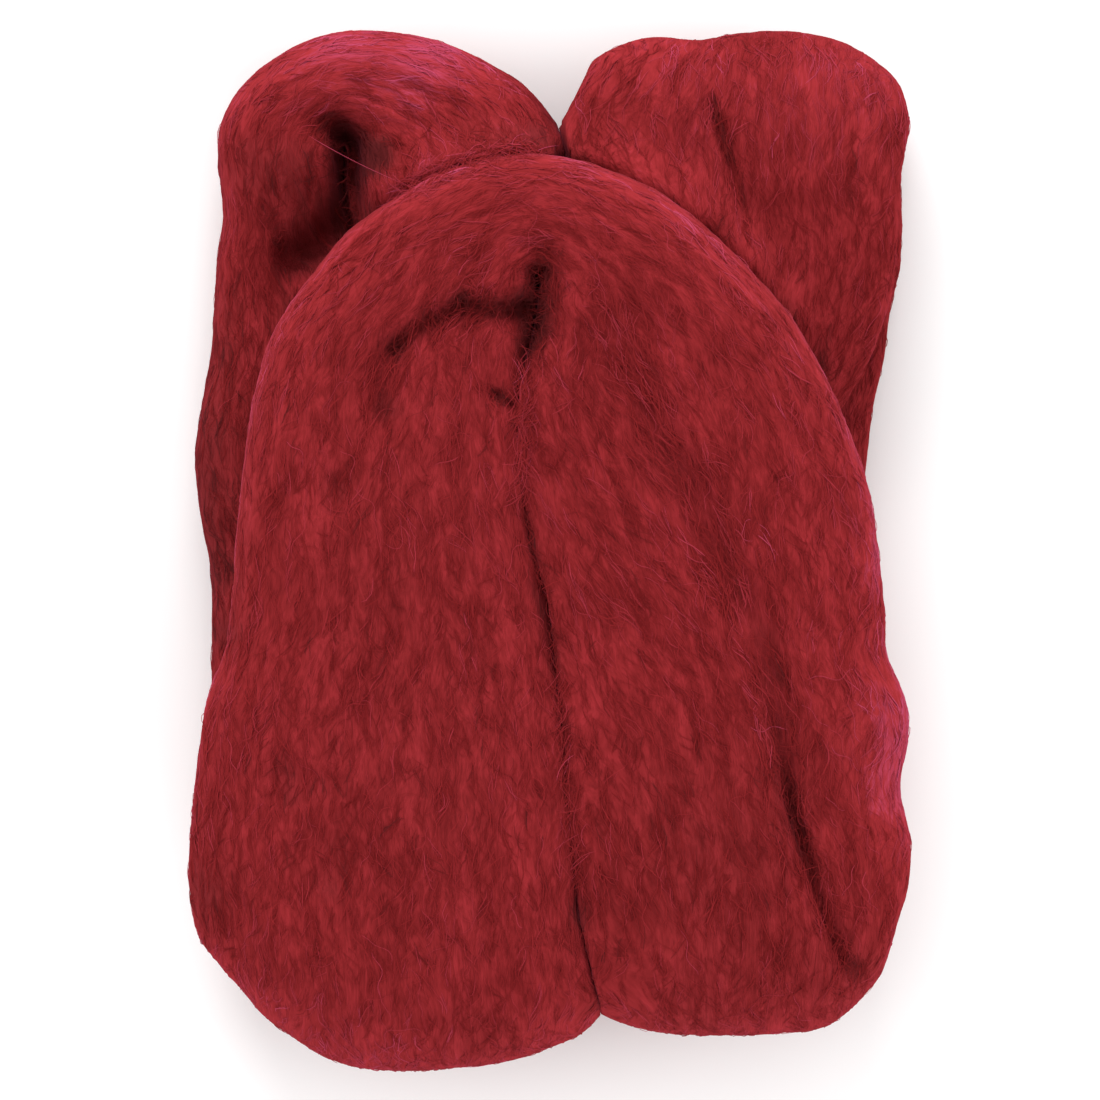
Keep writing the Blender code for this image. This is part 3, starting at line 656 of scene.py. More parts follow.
@dataclass
class Strand:
    """The folded strand: the solid's sweep, with tufts, narrow creases and closed gaps."""

    plan_middle: tuple[float, float, float] = (0.845, -0.792, 0.0)    # becomes the origin
    places_round: int = 176
    finer: float = 2.35             # how much closer than the solid's the sections stand
    outer_fullness: float = 2.35    # superellipse exponent of the half at the outer edge
    inner_fullness: float = 3.5     # the half pressed against the next leg is squarer
    usual_aspect: float = 2.3       # width over thickness, for which places round are even
    lower_top: float = 20.0         # top of the lower layer where the upper one presses on it
    upper_floor: float = 20.8       # underside of the upper layer there
    headroom_inset: float = 4.0
    headroom_slope: float = 0.7
    tip_length: float = 3.0
    tip_angles: tuple[float, ...] = (90.0, 80.0, 50.0, 25.0)
    fold_steps: int = 8
    fold_step: float = 5.0          # longest step between sections round a fold
    fine_stations: int = 6000
    skin: float = 0.35              # how far the felted body lies under its loose fibres
    outline_share: float = 0.26     # how much of its tufts shows on the outline
    light_depth: float = 2.0        # crease depth from which painted shade darkens it
    deepest: float = 8.0            # how much deeper gets the full painted shade
    facing_gain: float = 2.0        # how fast creases reach full depth as a place turns upwards
    weld_floor: float = 4.0         # the middle crease stays open this far up from its layer
    weld_top: float = 15.0          # the lower layer's gaps are closed up to here
    weld_fade: float = 3.0          # height over which that closing fades in below the top
    seam_width: float = 1.2         # how near a weld its walls are drawn to it without tufts
    flat_height: float = 1.0        # tufts start this high over the floor
    tuft_rise: float = 3.0          # and are full after this much more
    outline_finer: int = 4          # points of the arch's plan outline to one row
    far_below: float = -100.0       # y at which that outline is closed
    veiled: float = 0.72            # share of a crease's depth that loose fibres follow

    def fold_rows(self, before: Row, after: Row, fold: Fold) -> list[Row]:
        """Give the key rows of a half turn about x between two rows."""
        rows = []
        radius = abs(after.middle_z - before.middle_z) / 2
        for step in range(1, self.fold_steps):
            angle = math.pi * step / self.fold_steps
            blend = (1 - math.cos(angle)) / 2
            out = fold.side * radius * math.sin(angle)
            row = Row(*(a + (b - a) * blend for a, b in zip(before, after)))
            toward_inner = math.copysign(math.sin(angle), row.inner_x - row.outer_x)
            rows.append(row._replace(
                outer_x=row.outer_x + fold.outer_tuck * toward_inner,
                inner_x=row.inner_x - fold.inner_tuck * toward_inner,
                outer_y=row.outer_y + out,
                inner_y=row.inner_y + out,
            ))
        return rows

    def key_rows(self) -> tuple[np.ndarray, list[str], np.ndarray]:
        """Join the runs by their folds, with the layer and the longest step of every row."""
        rows: list[Row] = []
        layers: list[str] = []
        steps: list[float] = []
        for run, fold in zip(RUNS, FOLDS):
            turn = self.fold_rows(rows[-1], run.rows[0], fold) if fold else []
            rows += turn + list(run.rows)
            layers += ["fold"] * len(turn) + [run.layer] * len(run.rows)
            steps += [self.fold_step] * len(turn) + [run.step] * len(run.rows)
        return np.array(rows), layers, np.array(steps) / self.finer

    def frames(self, rows: np.ndarray) -> tuple[np.ndarray, np.ndarray, np.ndarray]:
        """Give each section's centre, half width across, and half thickness to its inside."""
        table = Row(*rows.T)
        outer = np.stack((table.outer_x, table.outer_y, table.middle_z), axis=1)
        inner = np.stack((table.inner_x, table.inner_y, table.middle_z), axis=1)
        centre = (outer + inner) / 2
        half_across = (outer - inner) / 2
        inward = unit(np.cross(half_across, np.gradient(centre, axis=0)))
        return centre, half_across, inward * table.thick[:, None] / 2

    def longest_steps(self, rows: np.ndarray) -> np.ndarray:
        """Give how far the strand's edges and its outside go from each row to the next."""
        centre, half_across, half_thick = self.frames(rows)
        tracks = (centre + half_across, centre - half_across, centre - half_thick)
        steps = [np.linalg.norm(np.diff(track, axis=0), axis=1) for track in tracks]
        return np.max(steps, axis=0)

    def stations(self) -> tuple[np.ndarray, list[str]]:
        """Space sections along the strand, with the layer that each lies in."""
        rows, layers, steps = self.key_rows()
        keys = np.concatenate(([0.0], np.cumsum(self.longest_steps(rows))))
        fine = np.linspace(keys[0], keys[-1], self.fine_stations)
        steps = np.interp(fine[1:], keys, steps)
        walked = self.longest_steps(smooth_through(keys, rows, fine)) / steps
        walked = np.concatenate(([0.0], np.cumsum(walked)))
        count = math.ceil(walked[-1]) + 1
        wanted = np.interp(np.linspace(0, walked[-1], count), walked, fine)
        nearest = np.abs(wanted[:, None] - keys).argmin(axis=1)
        return smooth_through(keys, rows, wanted), [layers[i] for i in nearest]

    def outline(self, angles: np.ndarray) -> tuple[np.ndarray, np.ndarray]:
        """Give how far across and up a section reaches at each angle, from -1 to 1."""
        cosine, sine = np.cos(angles), np.sin(angles)
        power = 2 / np.where(cosine > 0, self.outer_fullness, self.inner_fullness)
        across = np.sign(cosine) * np.abs(cosine) ** power
        up = np.sign(sine) * np.abs(sine) ** power
        return across, up

    def even_angles(self) -> np.ndarray:
        """Give angles at which the usual section's points stand evenly round it."""
        fine = np.linspace(0, 2 * math.pi, self.fine_stations)
        across, up = self.outline(fine)
        steps = np.hypot(np.diff(across) * self.usual_aspect, np.diff(up))
        walked = np.concatenate(([0.0], np.cumsum(steps)))
        wanted = (np.arange(self.places_round) + 0.5) / self.places_round * walked[-1]
        return np.interp(wanted, walked, fine)

    def swept_rings(self, rows: np.ndarray) -> np.ndarray:
        """Place a ring of points for every station, with two rounded tips."""
        centre, half_across, half_thick = self.frames(rows)
        across, up = self.outline(self.even_angles())
        rings = (
            centre[:, None, :]
            + half_across[:, None, :] * across[None, :, None]
            + half_thick[:, None, :] * up[None, :, None]
        )
        bow = rows[:, Row._fields.index("bow")]
        rings[:, :, 1] += bow[:, None] * (1 - across ** 2)
        along = unit(np.gradient(centre, axis=0))
        first = [self.tip_ring(rings[0], centre[0], -along[0], a) for a in self.tip_angles]
        last = [self.tip_ring(rings[-1], centre[-1], along[-1], a) for a in self.tip_angles]
        return np.concatenate((first, rings, last[::-1]))

    def tip_ring(
        self, ring: np.ndarray, centre: np.ndarray, direction: np.ndarray, angle: float
    ) -> np.ndarray:
        """Shrink an end section towards its middle, further out along the strand."""
        turn = math.radians(angle)
        reach = direction * self.tip_length * math.sin(turn)
        return centre + (ring - centre) * math.cos(turn) + reach

    def arch_outline(self) -> np.ndarray:
        """Give the plan outline of the upper layer, closed below the bottom folds."""
        rows = np.array(FRONT_ARCH)
        keys = np.arange(len(rows), dtype=float)
        wanted = np.linspace(0, len(rows) - 1, self.outline_finer * len(rows))
        edge = smooth_through(keys, rows, wanted)[:, :2]
        below = np.array(((edge[-1, 0], self.far_below), (edge[0, 0], self.far_below)))
        return np.concatenate((edge, below, edge[:1]))

    def headroom(self, points: np.ndarray) -> np.ndarray:
        """Give the height that the lower layer may reach at each plan point."""
        distance, _ = nearest_on_path(points, self.arch_outline())
        outside = np.maximum(distance + self.headroom_inset, 0)
        return self.lower_top + self.headroom_slope * outside

    def press_layers(self, rings: np.ndarray, layers: np.ndarray) -> None:
        """Flatten the strand on the floor and where its layers press together."""
        plan = rings[:, :, :2].reshape(-1, 2)
        room = self.headroom(plan).reshape(rings.shape[:2])
        height = rings[:, :, 2]
        low = np.isin(layers, ("lower", "tail"))[:, None]
        high = (layers == "upper")[:, None]
        height[:] = np.where(low, np.minimum(height, room), height)
        height[:] = np.where(high, np.maximum(height, self.upper_floor), height)
        height[:] = np.maximum(height, 0.0)

    def shape_surface(self, rings: np.ndarray, layers: np.ndarray, share: float) -> np.ndarray:
        """Push the creases, hollows and swellings into the strand.

        Args:
            rings: Every ring of the strand, which is changed in place.
            layers: The layer that each ring lies in.
            share: How much of the creases' depth to take.

        Returns:
            How deep the creases are at each point, in millimetres.
        """
        normals = ring_normals(rings)
        facing_up = np.clip(normals[:, :, 2] * self.facing_gain, 0, 1)
        plan = rings[:, :, :2].reshape(-1, 2)
        shape = rings.shape[:2]
        on_top = np.isin(layers, ("upper", "fold"))[:, None]
        upper = (rings[:, :, 2] > self.upper_floor) & on_top
        lobes = np.isin(layers, ("lower", "tail", "fold"))[:, None] & ~upper
        deep = np.zeros(shape)
        groups = (
            (FRONT_CREASES + FINE_CREASES, upper),
            (LOBE_CREASES + FINE_LOBE_CREASES, lobes),
        )
        for creases, here in groups:
            for crease in creases:
                deep += crease_depth(plan, crease).reshape(shape) * here * facing_up
        rings[:, :, 2] -= np.where(deep > 0, deep * share, deep)
        for dent in DENTS:
            away = np.linalg.norm(rings - np.array(dent[:3]), axis=2)
            depth = dent.depth * np.exp(-(away / dent.radius) ** 2)
            rings -= normals * depth[:, :, None]
        return deep

    def weld(self, rings: np.ndarray, welds: Sequence[Weld], where: np.ndarray) -> np.ndarray:
        """Bring the walls of a crease that runs down the bundle together.

        Args:
            rings: Every ring of the strand, which is changed in place.
            welds: The corners of the crease's path.
            where: How far each point takes part, from 0 to 1.

        Returns:
            How near to touching the wall at each point is, from 0 to 1.
        """
        plan = rings[:, :, :2].reshape(-1, 2)
        distance, place, closing, width = read_path(plan, welds)
        inside = (place > 0) & (place < len(welds) - 1)
        closing = closing * np.exp(-(distance / width) ** 2) * inside
        closing = np.minimum(closing, np.abs(distance)) * np.sign(distance)
        rings[:, :, 0] -= closing.reshape(rings.shape[:2]) * where
        seam = np.exp(-((distance - closing) / self.seam_width) ** 2) * inside
        return seam.reshape(rings.shape[:2]) * where

    def weld_gaps(self, rings: np.ndarray, layers: np.ndarray) -> np.ndarray:
        """Close the middle crease, the notch, the gap between the folds and those below.

        Args:
            rings: Every ring of the strand, which is changed in place.
            layers: The layer that each ring lies in.

        Returns:
            How near to touching another wall each point is, from 0 to 1.
        """
        height = rings[:, :, 2]
        low = np.isin(layers, ("lower", "fold"))[:, None] & (height < self.upper_floor)
        low = low * np.clip((self.weld_top - height) / self.weld_fade, 0, 1)
        seams = [
            self.weld(rings, MIDDLE_WELD, height > self.upper_floor + self.weld_floor),
            self.weld(rings, FOLD_WELD, np.ones(height.shape)),
            self.weld(rings, NOTCH_WELD, height < self.upper_floor + self.weld_floor),
        ]
        seams += [self.weld(rings, welds, low) for welds in LOWER_WELDS]
        return np.max(seams, axis=0)

    def tuft(self, surface: Surface) -> np.ndarray:
        """Give how far loose tufts raise each point of the surface, in millimetres."""
        grain = surface.grain()
        height = np.zeros(surface.shape)
        for tuft in TUFTS:
            height += tuft.height * drawn_noise(grain, tuft.length, tuft.width, tuft.seed)
        over_floor = (surface.points[:, :, 2] - self.flat_height) / self.tuft_rise
        return height * np.clip(over_floor, 0, 1)

    def surface(self, veiled: bool = False) -> Surface:
        """Work out the finished surface in millimetres.

        Args:
            veiled: Whether it is the one that loose fibres lie on, which bridges the creases.

        Returns:
            The surface, with its tufts.
        """
        rows, names = self.stations()
        rings = self.swept_rings(rows)
        ends = len(self.tip_angles)
        layers = np.array([names[0]] * ends + names + [names[-1]] * ends)
        self.press_layers(rings, layers)
        deep = self.shape_surface(rings, layers, self.veiled if veiled else 1.0)
        rings[:, :, 2] = np.maximum(rings[:, :, 2], 0.0)
        rings -= self.plan_middle
        seams = self.weld_gaps(rings, layers)
        plain = Surface(rings, layers, deep)
        level = self.outline_share + (1 - self.outline_share) * np.abs(plain.normals[:, :, 2])
        loose = (self.tuft(plain) - self.skin) * (1 - seams) * level
        rings = rings + plain.normals * loose[:, :, None]
        rings[0], rings[-1] = rings[0].mean(axis=0), rings[-1].mean(axis=0)
        rings[:, :, 2] = np.maximum(rings[:, :, 2], 0.0)
        # the surface keeps its crease share, which sets the painted crease shade
        return Surface(rings, layers, np.clip((deep - self.light_depth) / self.deepest, 0, 1))


class Lie(Enum):
    """The parts of the surface that a coat of fibres may cover."""

    FRONT = "front"
    FRONT_LEFT = "front left"
    FRONT_RIGHT = "front right"
    LOBES = "lobes"
    FLANKS = "flanks"


@dataclass(frozen=True)
class Coat:
    """One coat of loose fibres: where it lies, how many there are and how wild they are."""

    name: str
    lie: Lie
    count: int
    seed: int
    length: Span = (3.0, 7.5)    # shortest and longest
    width: float = 0.14
    stray: float = 19.0       # spread of direction, in degrees
    swirl: float = 22.0       # how far the lie wanders from patch to patch, in degrees
    bend: float = 45.0        # spread of the turn from one end to the other, in degrees
    sunk: float = 0.10        # how far the ends lie under the middle
    loft: float = 0.28        # usual height of the middle over the body
    corners: int = 5          # points along a fibre
    wave: float = 20.0        # how far a fibre winds from side to side, in degrees
    waves: float = 1.0        # how often it does so
    tone: float = 0.40        # usual tone
    lock: int = 3             # fibres that lie together as one lock


@dataclass(frozen=True)
class Veil:
    """Fibres that bridge a crease or an edge, scattered along a line between two places."""

    start: Span                   # in the photograph's pixels
    end: Span
    count: int
    spread: float                 # how far they lie off the line, in millimetres
    heading: float                # their direction, in degrees from +x towards +y
    stray: float                  # its spread
    length: Span = (5.0, 10.0)
    lift: float = 0.3
    bend: float = 60.0
    # tone: the table sets it darker for painted shade in creases and lighter for painted light on
    # shaded contacts
    tone: float = 0.40
    width: float = 0.11


def from_photo(pixel: Span) -> np.ndarray:
    """Give the plan place of a pixel of the photograph, in millimetres."""
    return np.array((pixel[0] - PHOTO_CENTRE[0], PHOTO_CENTRE[1] - pixel[1])) * PIXEL


class FibreMesh:
    """Makes one mesh of many closed, three-sided fibres that taper to a point at both ends."""

    sides = 3
    margin = 0.02             # kept free round the bake map
    tone_spread = 0.004       # half width of a fibre's strip on it
    softness = 0.8            # how far a fibre is shaded like the body under it

    def __init__(self, name: str, paths: np.ndarray, facing: np.ndarray, radii: np.ndarray,
                 tones: np.ndarray) -> None:
        """Keep what the fibres are made from.

        Args:
            name: The piece's name.
            paths: Fibres by points by three, in millimetres.
            facing: The direction away from the body at each point.
            radii: Each fibre's radius at each point.
            tones: Each fibre's tone, from 0 for dark to 1 for light.
        """
        self.name = name
        self.paths = paths
        self.facing = facing
        self.radii = radii
        self.tones = tones

    def vertices(self) -> tuple[np.ndarray, np.ndarray]:
        """Give every fibre's points and how they are shaded: first tip, rings, last tip."""
        paths, facing = self.paths, self.facing
        along = unit(np.gradient(paths, axis=1))
        side = unit(np.cross(along, facing))
        out = np.cross(side, along)
        turns = math.pi / 2 + np.arange(self.sides) * 2 * math.pi / self.sides
        spokes = [side * math.cos(turn) + out * math.sin(turn) for turn in turns]
        rings = [paths + self.radii[..., None] * spoke for spoke in spokes]
        soft = [facing * self.softness + spoke * (1 - self.softness) for spoke in spokes]
        rings, soft = (
            np.stack(parts, axis=2)[:, 1:-1].reshape(len(paths), -1, 3) for parts in (rings, soft)
        )
        return (
            np.concatenate((paths[:, :1], rings, paths[:, -1:]), axis=1),
            unit(np.concatenate((facing[:, :1], soft, facing[:, -1:]), axis=1)),
        )

    def faces(self) -> np.ndarray:
        """Give one fibre's triangles, which face outwards."""
        rings = self.paths.shape[1] - 2
        last = rings * self.sides + 1
        found = []
        for i in range(self.sides):
            j = (i + 1) % self.sides
            found.append((0, 1 + i, 1 + j))
            found.append((last, last - self.sides + j, last - self.sides + i))
            for ring in range(rings - 1):
                low = 1 + ring * self.sides
                high = low + self.sides
                found.append((low + i, high + i, high + j))
                found.append((low + i, high + j, low + j))
        return np.array(found)

    def places_on_map(self) -> np.ndarray:
        """Give each point of every fibre its place on the map: tone across, length up."""
        count, corners = self.paths.shape[:2]
        lengths = np.linspace(self.margin, 1 - self.margin, corners)
        up = np.concatenate((lengths[:1], np.repeat(lengths[1:-1], self.sides), lengths[-1:]))
        offsets = np.linspace(-self.tone_spread, self.tone_spread, self.sides)
        across = np.concatenate(([0.0], np.tile(offsets, corners - 2), [0.0]))
        tones = np.clip(self.tones, self.margin, 1 - self.margin)
        return np.stack((
            tones[:, None] + across[None, :],
            np.repeat(up[None, :], count, axis=0),
        ), axis=2)

    def build(self) -> bpy.types.Object:
        """Join the fibres into one object."""
        vertices, soft = self.vertices()
        count, corners = vertices.shape[:2]
        faces = self.faces()[None] + (np.arange(count) * corners)[:, None, None]
        mesh = bpy.data.meshes.new(self.name)
        mesh.from_pydata((vertices * MM).reshape(-1, 3), [], faces.reshape(-1, 3))
        layer = mesh.uv_layers.new(name=BAKE_MAP)
        places = self.places_on_map().reshape(-1, 2)[faces.reshape(-1)]
        layer.uv.foreach_set("vector", places.astype(np.float32).ravel())
        mesh.shade_smooth()
        mesh.normals_split_custom_set_from_vertices(soft.reshape(-1, 3))
        mesh.update()
        return place_in_scene(self.name, mesh)


@dataclass
class Fleece:
    """The loose fibres over the body, which follow the lie of the strand."""

    surface: Surface
    rays: int = 20                # rays by which the openness of a place is judged
    ray_seed: int = 11
    ray_lean: float = 1.6         # how much they lean to the way that the place faces
    ray_start: float = 0.6        # how far off the surface they start
    reach: float = 30.0           # how far they look
    station_skip: int = 3         # openness is judged at every third station
    place_skip: int = 4           # and at every fourth place round
    front_ends: int = 20          # stations past the upper layer that still count as the front
    fold_floor: float = 12.0      # lowest place of the front on its folds
    front_floor: float = 21.0     # and on its layer
    front_tilt: float = -0.3      # least way up that a place of the front faces
    lobe_tilt: float = 0.12       # and a place of the lobes
    underside: float = -0.6       # places that face down more than this lie underneath
    underside_share: float = 0.12    # how many fibres they get, by comparison
    least_open: float = 0.04      # what a shut-in place's openness counts as, for its fibres
    bare_ends: int = 4            # stations at each end without fibres
    floor_clearance: float = 0.12
    longest_turn: float = 14.0    # stations that one fibre may span
    bridge_corners: int = 7
    above: float = 80.0           # a height over all the wool
    lift_up: float = 0.3          # how much more than the wool under them bridging fibres face up
    flat_loft: float = 0.25       # how little fibres rise on a steep side, by comparison
    lean: float = 0.25            # how much one end rises over the other, in lofts
    thickness: Span = (0.7, 1.25)            # thinnest and thickest, by its coat's width
    veil_thickness: Span = (0.7, 1.2)        # likewise for bridging fibres
    swirl_noise: tuple[float, float, float] = (9.0, 4.5, 71.0)    # length, width and seed
    tone_noise: tuple[float, float, float] = (22.0, 4.0, 5.0)
    tone_noise_share: float = 0.12
    veil_tones: float = 0.12      # how much bridging fibres differ in tone
    own_share: float = 0.35       # how much a fibre differs from its lock
    tone_spread: float = 0.105    # how much locks differ in tone
    lock_width: float = 0.17      # spread of a lock's fibres, sideways
    lock_length: float = 0.9      # and lengthways
    # openness at which fibres take neither painted shade nor painted light
    usual_openness: float = 0.85
    most_open: float = 0.1        # how much more openness than that still lightens a fibre, as painted light
    rim_highlight_tone: float = 0.28        # painted highlight: how much lighter the loose rims are
    shading: float = 0.50         # how much darker fibres are where little light comes in
    crease_shade: float = 0.30     # painted shade: how much darker they are down in a crease

    def openness(self) -> np.ndarray:
        """Judge how open each point of the surface is to the light, from 0 to 1."""
        points, normals = self.surface.points, self.surface.normals
        stations, around = self.surface.shape
        tree = self.shape_tree()
        rng = np.random.default_rng(self.ray_seed)
        found = np.zeros((len(range(0, stations, self.station_skip)), around // self.place_skip))
        for row, i in enumerate(range(0, stations, self.station_skip)):
            for column, j in enumerate(range(0, around, self.place_skip)):
                lean = self.ray_lean * normals[i, j]
                directions = unit(rng.normal(size=(self.rays, 3)) + lean)
                start = Vector(points[i, j] + normals[i, j] * self.ray_start)
                ways = (Vector(way) for way in directions.tolist())
                clear = sum(tree.ray_cast(start, way, self.reach)[0] is None for way in ways)
                found[row, column] = clear / self.rays
        wanted = np.arange(stations) / self.station_skip
        low = np.minimum(wanted.astype(int), len(found) - 1)
        high = np.minimum(low + 1, len(found) - 1)
        part = (wanted - low)[:, None]
        rows = found[low] * (1 - part) + found[high] * part
        wanted = np.arange(around) / self.place_skip
        left = wanted.astype(int) % found.shape[1]
        right = (left + 1) % found.shape[1]
        part = (wanted - wanted.astype(int))[None, :]
        return rows[:, left] * (1 - part) + rows[:, right] * part

    def shape_tree(self) -> BVHTree:
        """Make the body's faces ready for casting rays at."""
        stations, around = self.surface.shape
        low = np.arange(stations - 1)[:, None] * around
        left = np.arange(around)[None, :]
        right = (left + 1) % around
        quads = np.stack((low + left, low + right, low + around + right, low + around + left), 2)
        vertices = self.surface.points.reshape(-1, 3).tolist()
        return BVHTree.FromPolygons(vertices, quads.reshape(-1, 4).tolist())

    def covers(self, lie: Lie) -> np.ndarray:
        """Tell which points of the surface one part of it takes in."""
        surface = self.surface
        height, up = surface.points[:, :, 2], surface.normals[:, :, 2]
        stations = np.arange(surface.shape[0])[:, None]
        upper_rows = np.flatnonzero(surface.layers == "upper")
        middle = upper_rows.mean()
        edge = (upper_rows[0] - self.front_ends, upper_rows[-1] + self.front_ends)
        low = np.where(surface.layers == "fold", self.fold_floor, self.front_floor)[:, None]
        front = (stations > edge[0]) & (stations < edge[1])
        front = front & (height > low) & (up > self.front_tilt)
        lobes = ~front & (up > self.lobe_tilt)
        return {
            Lie.FRONT: front,
            Lie.FRONT_LEFT: front & (stations <= middle),
            Lie.FRONT_RIGHT: front & (stations > middle),
            Lie.LOBES: lobes,
            Lie.FLANKS: ~front & ~lobes,
        }[lie]

    def seeds(self, coat: Coat, openness: np.ndarray, rng: np.random.Generator
              ) -> tuple[np.ndarray, np.ndarray]:
        """Choose where a coat's locks lie, more of them where the surface is open."""
        surface = self.surface
        area = surface.step_along * surface.step_round
        under = surface.normals[:, :, 2] < self.underside
        downward = np.where(under, self.underside_share, 1.0)
        weight = area * (self.least_open + openness) * self.covers(coat.lie) * downward
        weight[:self.bare_ends] = 0
        weight[-self.bare_ends:] = 0
        locks = coat.count // coat.lock
        chosen = rng.choice(weight.size, size=locks, p=(weight / weight.sum()).ravel())
        along, around = np.unravel_index(chosen, weight.shape)
        return along + rng.random(locks), around + rng.random(locks)

    def grow(self, coat: Coat, openness: np.ndarray, grain: np.ndarray, turns: np.ndarray
             ) -> bpy.types.Object:
        """Make one coat of fibres.

        Args:
            coat: What the coat is like.
            openness: How open each point of the surface is.
            grain: Each point's place along and round the strand.
            turns: How far fibres turn off the strand's direction there.

        Returns:
            The coat's object.
        """
        surface = self.surface
        rng = np.random.default_rng(coat.seed)
        along, around = (np.repeat(v, coat.lock) for v in self.seeds(coat, openness, rng))
        count = len(along)
        place = surface.sample(grain, along, around)
        scale_along = np.maximum(surface.sample(surface.step_along, along, around), 1e-3)
        scale_round = np.maximum(surface.sample(surface.step_round, along, around), 1e-3)
        along = along + rng.normal(0, self.lock_length, count) / scale_along
        around = around + rng.normal(0, self.lock_width, count) / scale_round
        swirl = coat.swirl * drawn_noise(place, *self.swirl_noise)
        angle = np.radians(swirl + self.locked(rng, coat, coat.stray))
        angle += surface.sample(turns, along, around)
        bend = np.radians(self.locked(rng, coat, coat.bend))
        length = rng.uniform(*coat.length, count)
        t = np.linspace(-0.5, 0.5, coat.corners)
        phase = rng.uniform(0, 2 * math.pi, count)[:, None]
        winding = np.radians(coat.wave) * np.sin(2 * math.pi * coat.waves * t + phase)
        heading = angle[:, None] + bend[:, None] * t + winding
        forward, sideways = (
            self.walked(turned * length[:, None] / (coat.corners - 1))
            for turned in (np.cos(heading), np.sin(heading))
        )
        reach = np.abs(forward / scale_along[:, None]).max(axis=1)
        shrink = np.minimum(1, self.longest_turn / np.maximum(reach, 1e-6))[:, None]
        u = along[:, None] + forward * shrink / scale_along[:, None]
        v = around[:, None] + sideways * shrink / scale_round[:, None]
        paths = surface.sample(surface.points, u, v)
        facing = unit(surface.sample(surface.normals, u, v))
        level = np.clip(facing[..., 2] + self.flat_loft, self.flat_loft, 1)
        loft = coat.loft * rng.gamma(2.0, 0.5, count)[:, None] * level
        hump = 1 - (2 * t) ** 2
        lean = rng.normal(0, self.lean, count)[:, None] * t
        paths = paths + facing * (loft * (hump + lean) - coat.sunk)[..., None]
        paths[..., 2] = np.maximum(paths[..., 2], self.floor_clearance)
        radii = self.tapered(coat.width / 2 * rng.uniform(*self.thickness, count), coat.corners)
        tones = self.shade(along, around, openness) + coat.tone
        tones += self.tone_noise_share * drawn_noise(place, *self.tone_noise)
        tones += self.locked(rng, coat, self.tone_spread)
        return FibreMesh(coat.name, paths, facing, radii, tones).build()

    def shade(self, along: np.ndarray, around: np.ndarray, openness: np.ndarray) -> np.ndarray:
        """Give how much lighter or darker than usual fibres at these places are: painted shade
        where little light comes in and in creases, a painted rim highlight, and the patches.
        """
        surface = self.surface
        lit = surface.sample(openness, along, around)
        up = surface.sample(surface.normals, along, around)[:, 2]
        height = surface.sample(surface.points, along, around)[:, 2]
        tones = self.shading * np.minimum(lit - self.usual_openness, self.most_open)
        tones += self.rim_highlight_tone * rim_highlight_share(up, height, lit)
        tones -= self.crease_shade * surface.sample(surface.deep, along, around)
        return tones + surface.sample(surface.light_shade_and_tone(), along, around)

    def locked(self, rng: np.random.Generator, coat: Coat, spread: float) -> np.ndarray:
        """Draw one number for each fibre, most of which its whole lock shares."""
        shared = np.repeat(rng.normal(0, spread, coat.count // coat.lock), coat.lock)
        return shared + rng.normal(0, spread * self.own_share, len(shared))

    def bridge(self, name: str, veils: Sequence[Veil], seed: int) -> bpy.types.Object:
        """Make the fibres that bridge creases and edges.

        Args:
            name: The piece's name.
            veils: Where they lie.
            seed: Seed of the random draws.

        Returns:
            The piece's object.
        """
        rng = np.random.default_rng(seed)
        tree = self.shape_tree()
        paths, facing, radii, tones = [], [], [], []
        t = np.linspace(-0.5, 0.5, self.bridge_corners)
        for veil in veils:
            count = veil.count
            start, end = from_photo(veil.start), from_photo(veil.end)
            centre = start + (end - start) * rng.random((count, 1))
            centre = centre + rng.normal(0, veil.spread, (count, 2))
            angle = np.radians(veil.heading + rng.normal(0, veil.stray, count))[:, None]
            heading = angle + np.radians(rng.normal(0, veil.bend, count))[:, None] * t
            step = (rng.uniform(*veil.length, count) / (self.bridge_corners - 1))[:, None]
            x = centre[:, :1] + self.walked(np.cos(heading) * step)
            y = centre[:, 1:] + self.walked(np.sin(heading) * step)
            under, normals = self.wool_below(tree, x, y)
            line = under[:, :1] * (0.5 - t) + under[:, -1:] * (0.5 + t)
            hump = veil.lift * rng.gamma(2.0, 0.5, count)[:, None] * (1 - (2 * t) ** 2)
            z = np.maximum(under, line) + hump + self.floor_clearance
            paths.append(np.stack((x, y, z), axis=2))
            facing.append(normals)
            thick = veil.width / 2 * rng.uniform(*self.veil_thickness, count)
            radii.append(self.tapered(thick, self.bridge_corners))
            tones.append(veil.tone + rng.normal(0, self.veil_tones, count))
        parts = (np.concatenate(found) for found in (paths, facing, radii, tones))
        return FibreMesh(name, *parts).build()

    def wool_below(self, tree: BVHTree, x: np.ndarray, y: np.ndarray
                   ) -> tuple[np.ndarray, np.ndarray]:
        """Look straight down on the wool at each place along some fibres.

        Args:
            tree: The body's faces.
            x: Fibres by points, in millimetres.
            y: Likewise.

        Returns:
            How high the wool stands there, or nothing beside it, and which way it faces, evened
            out along each fibre.
        """
        heights, normals = [], []
        down = Vector((0.0, 0.0, -1.0))
        for place in zip(x.ravel().tolist(), y.ravel().tolist()):
            hit, normal, _, _ = tree.ray_cast(Vector((*place, self.above)), down)
            heights.append(hit.z if hit else 0.0)
            normals.append(normal if hit else -down)
        facing = np.array(normals).reshape(*x.shape, 3)
        facing = unit(facing * np.sign(facing[..., 2:]) + (0.0, 0.0, self.lift_up))
        facing = facing.mean(axis=1, keepdims=True)
        return np.array(heights).reshape(x.shape), np.repeat(facing, x.shape[1], axis=1)

    @staticmethod
    def tapered(thick: np.ndarray, corners: int) -> np.ndarray:
        """Give each fibre's radius at each of its points, which is nothing at its tips."""
        return thick[:, None] * np.array([0.0] + [1.0] * (corners - 2) + [0.0])

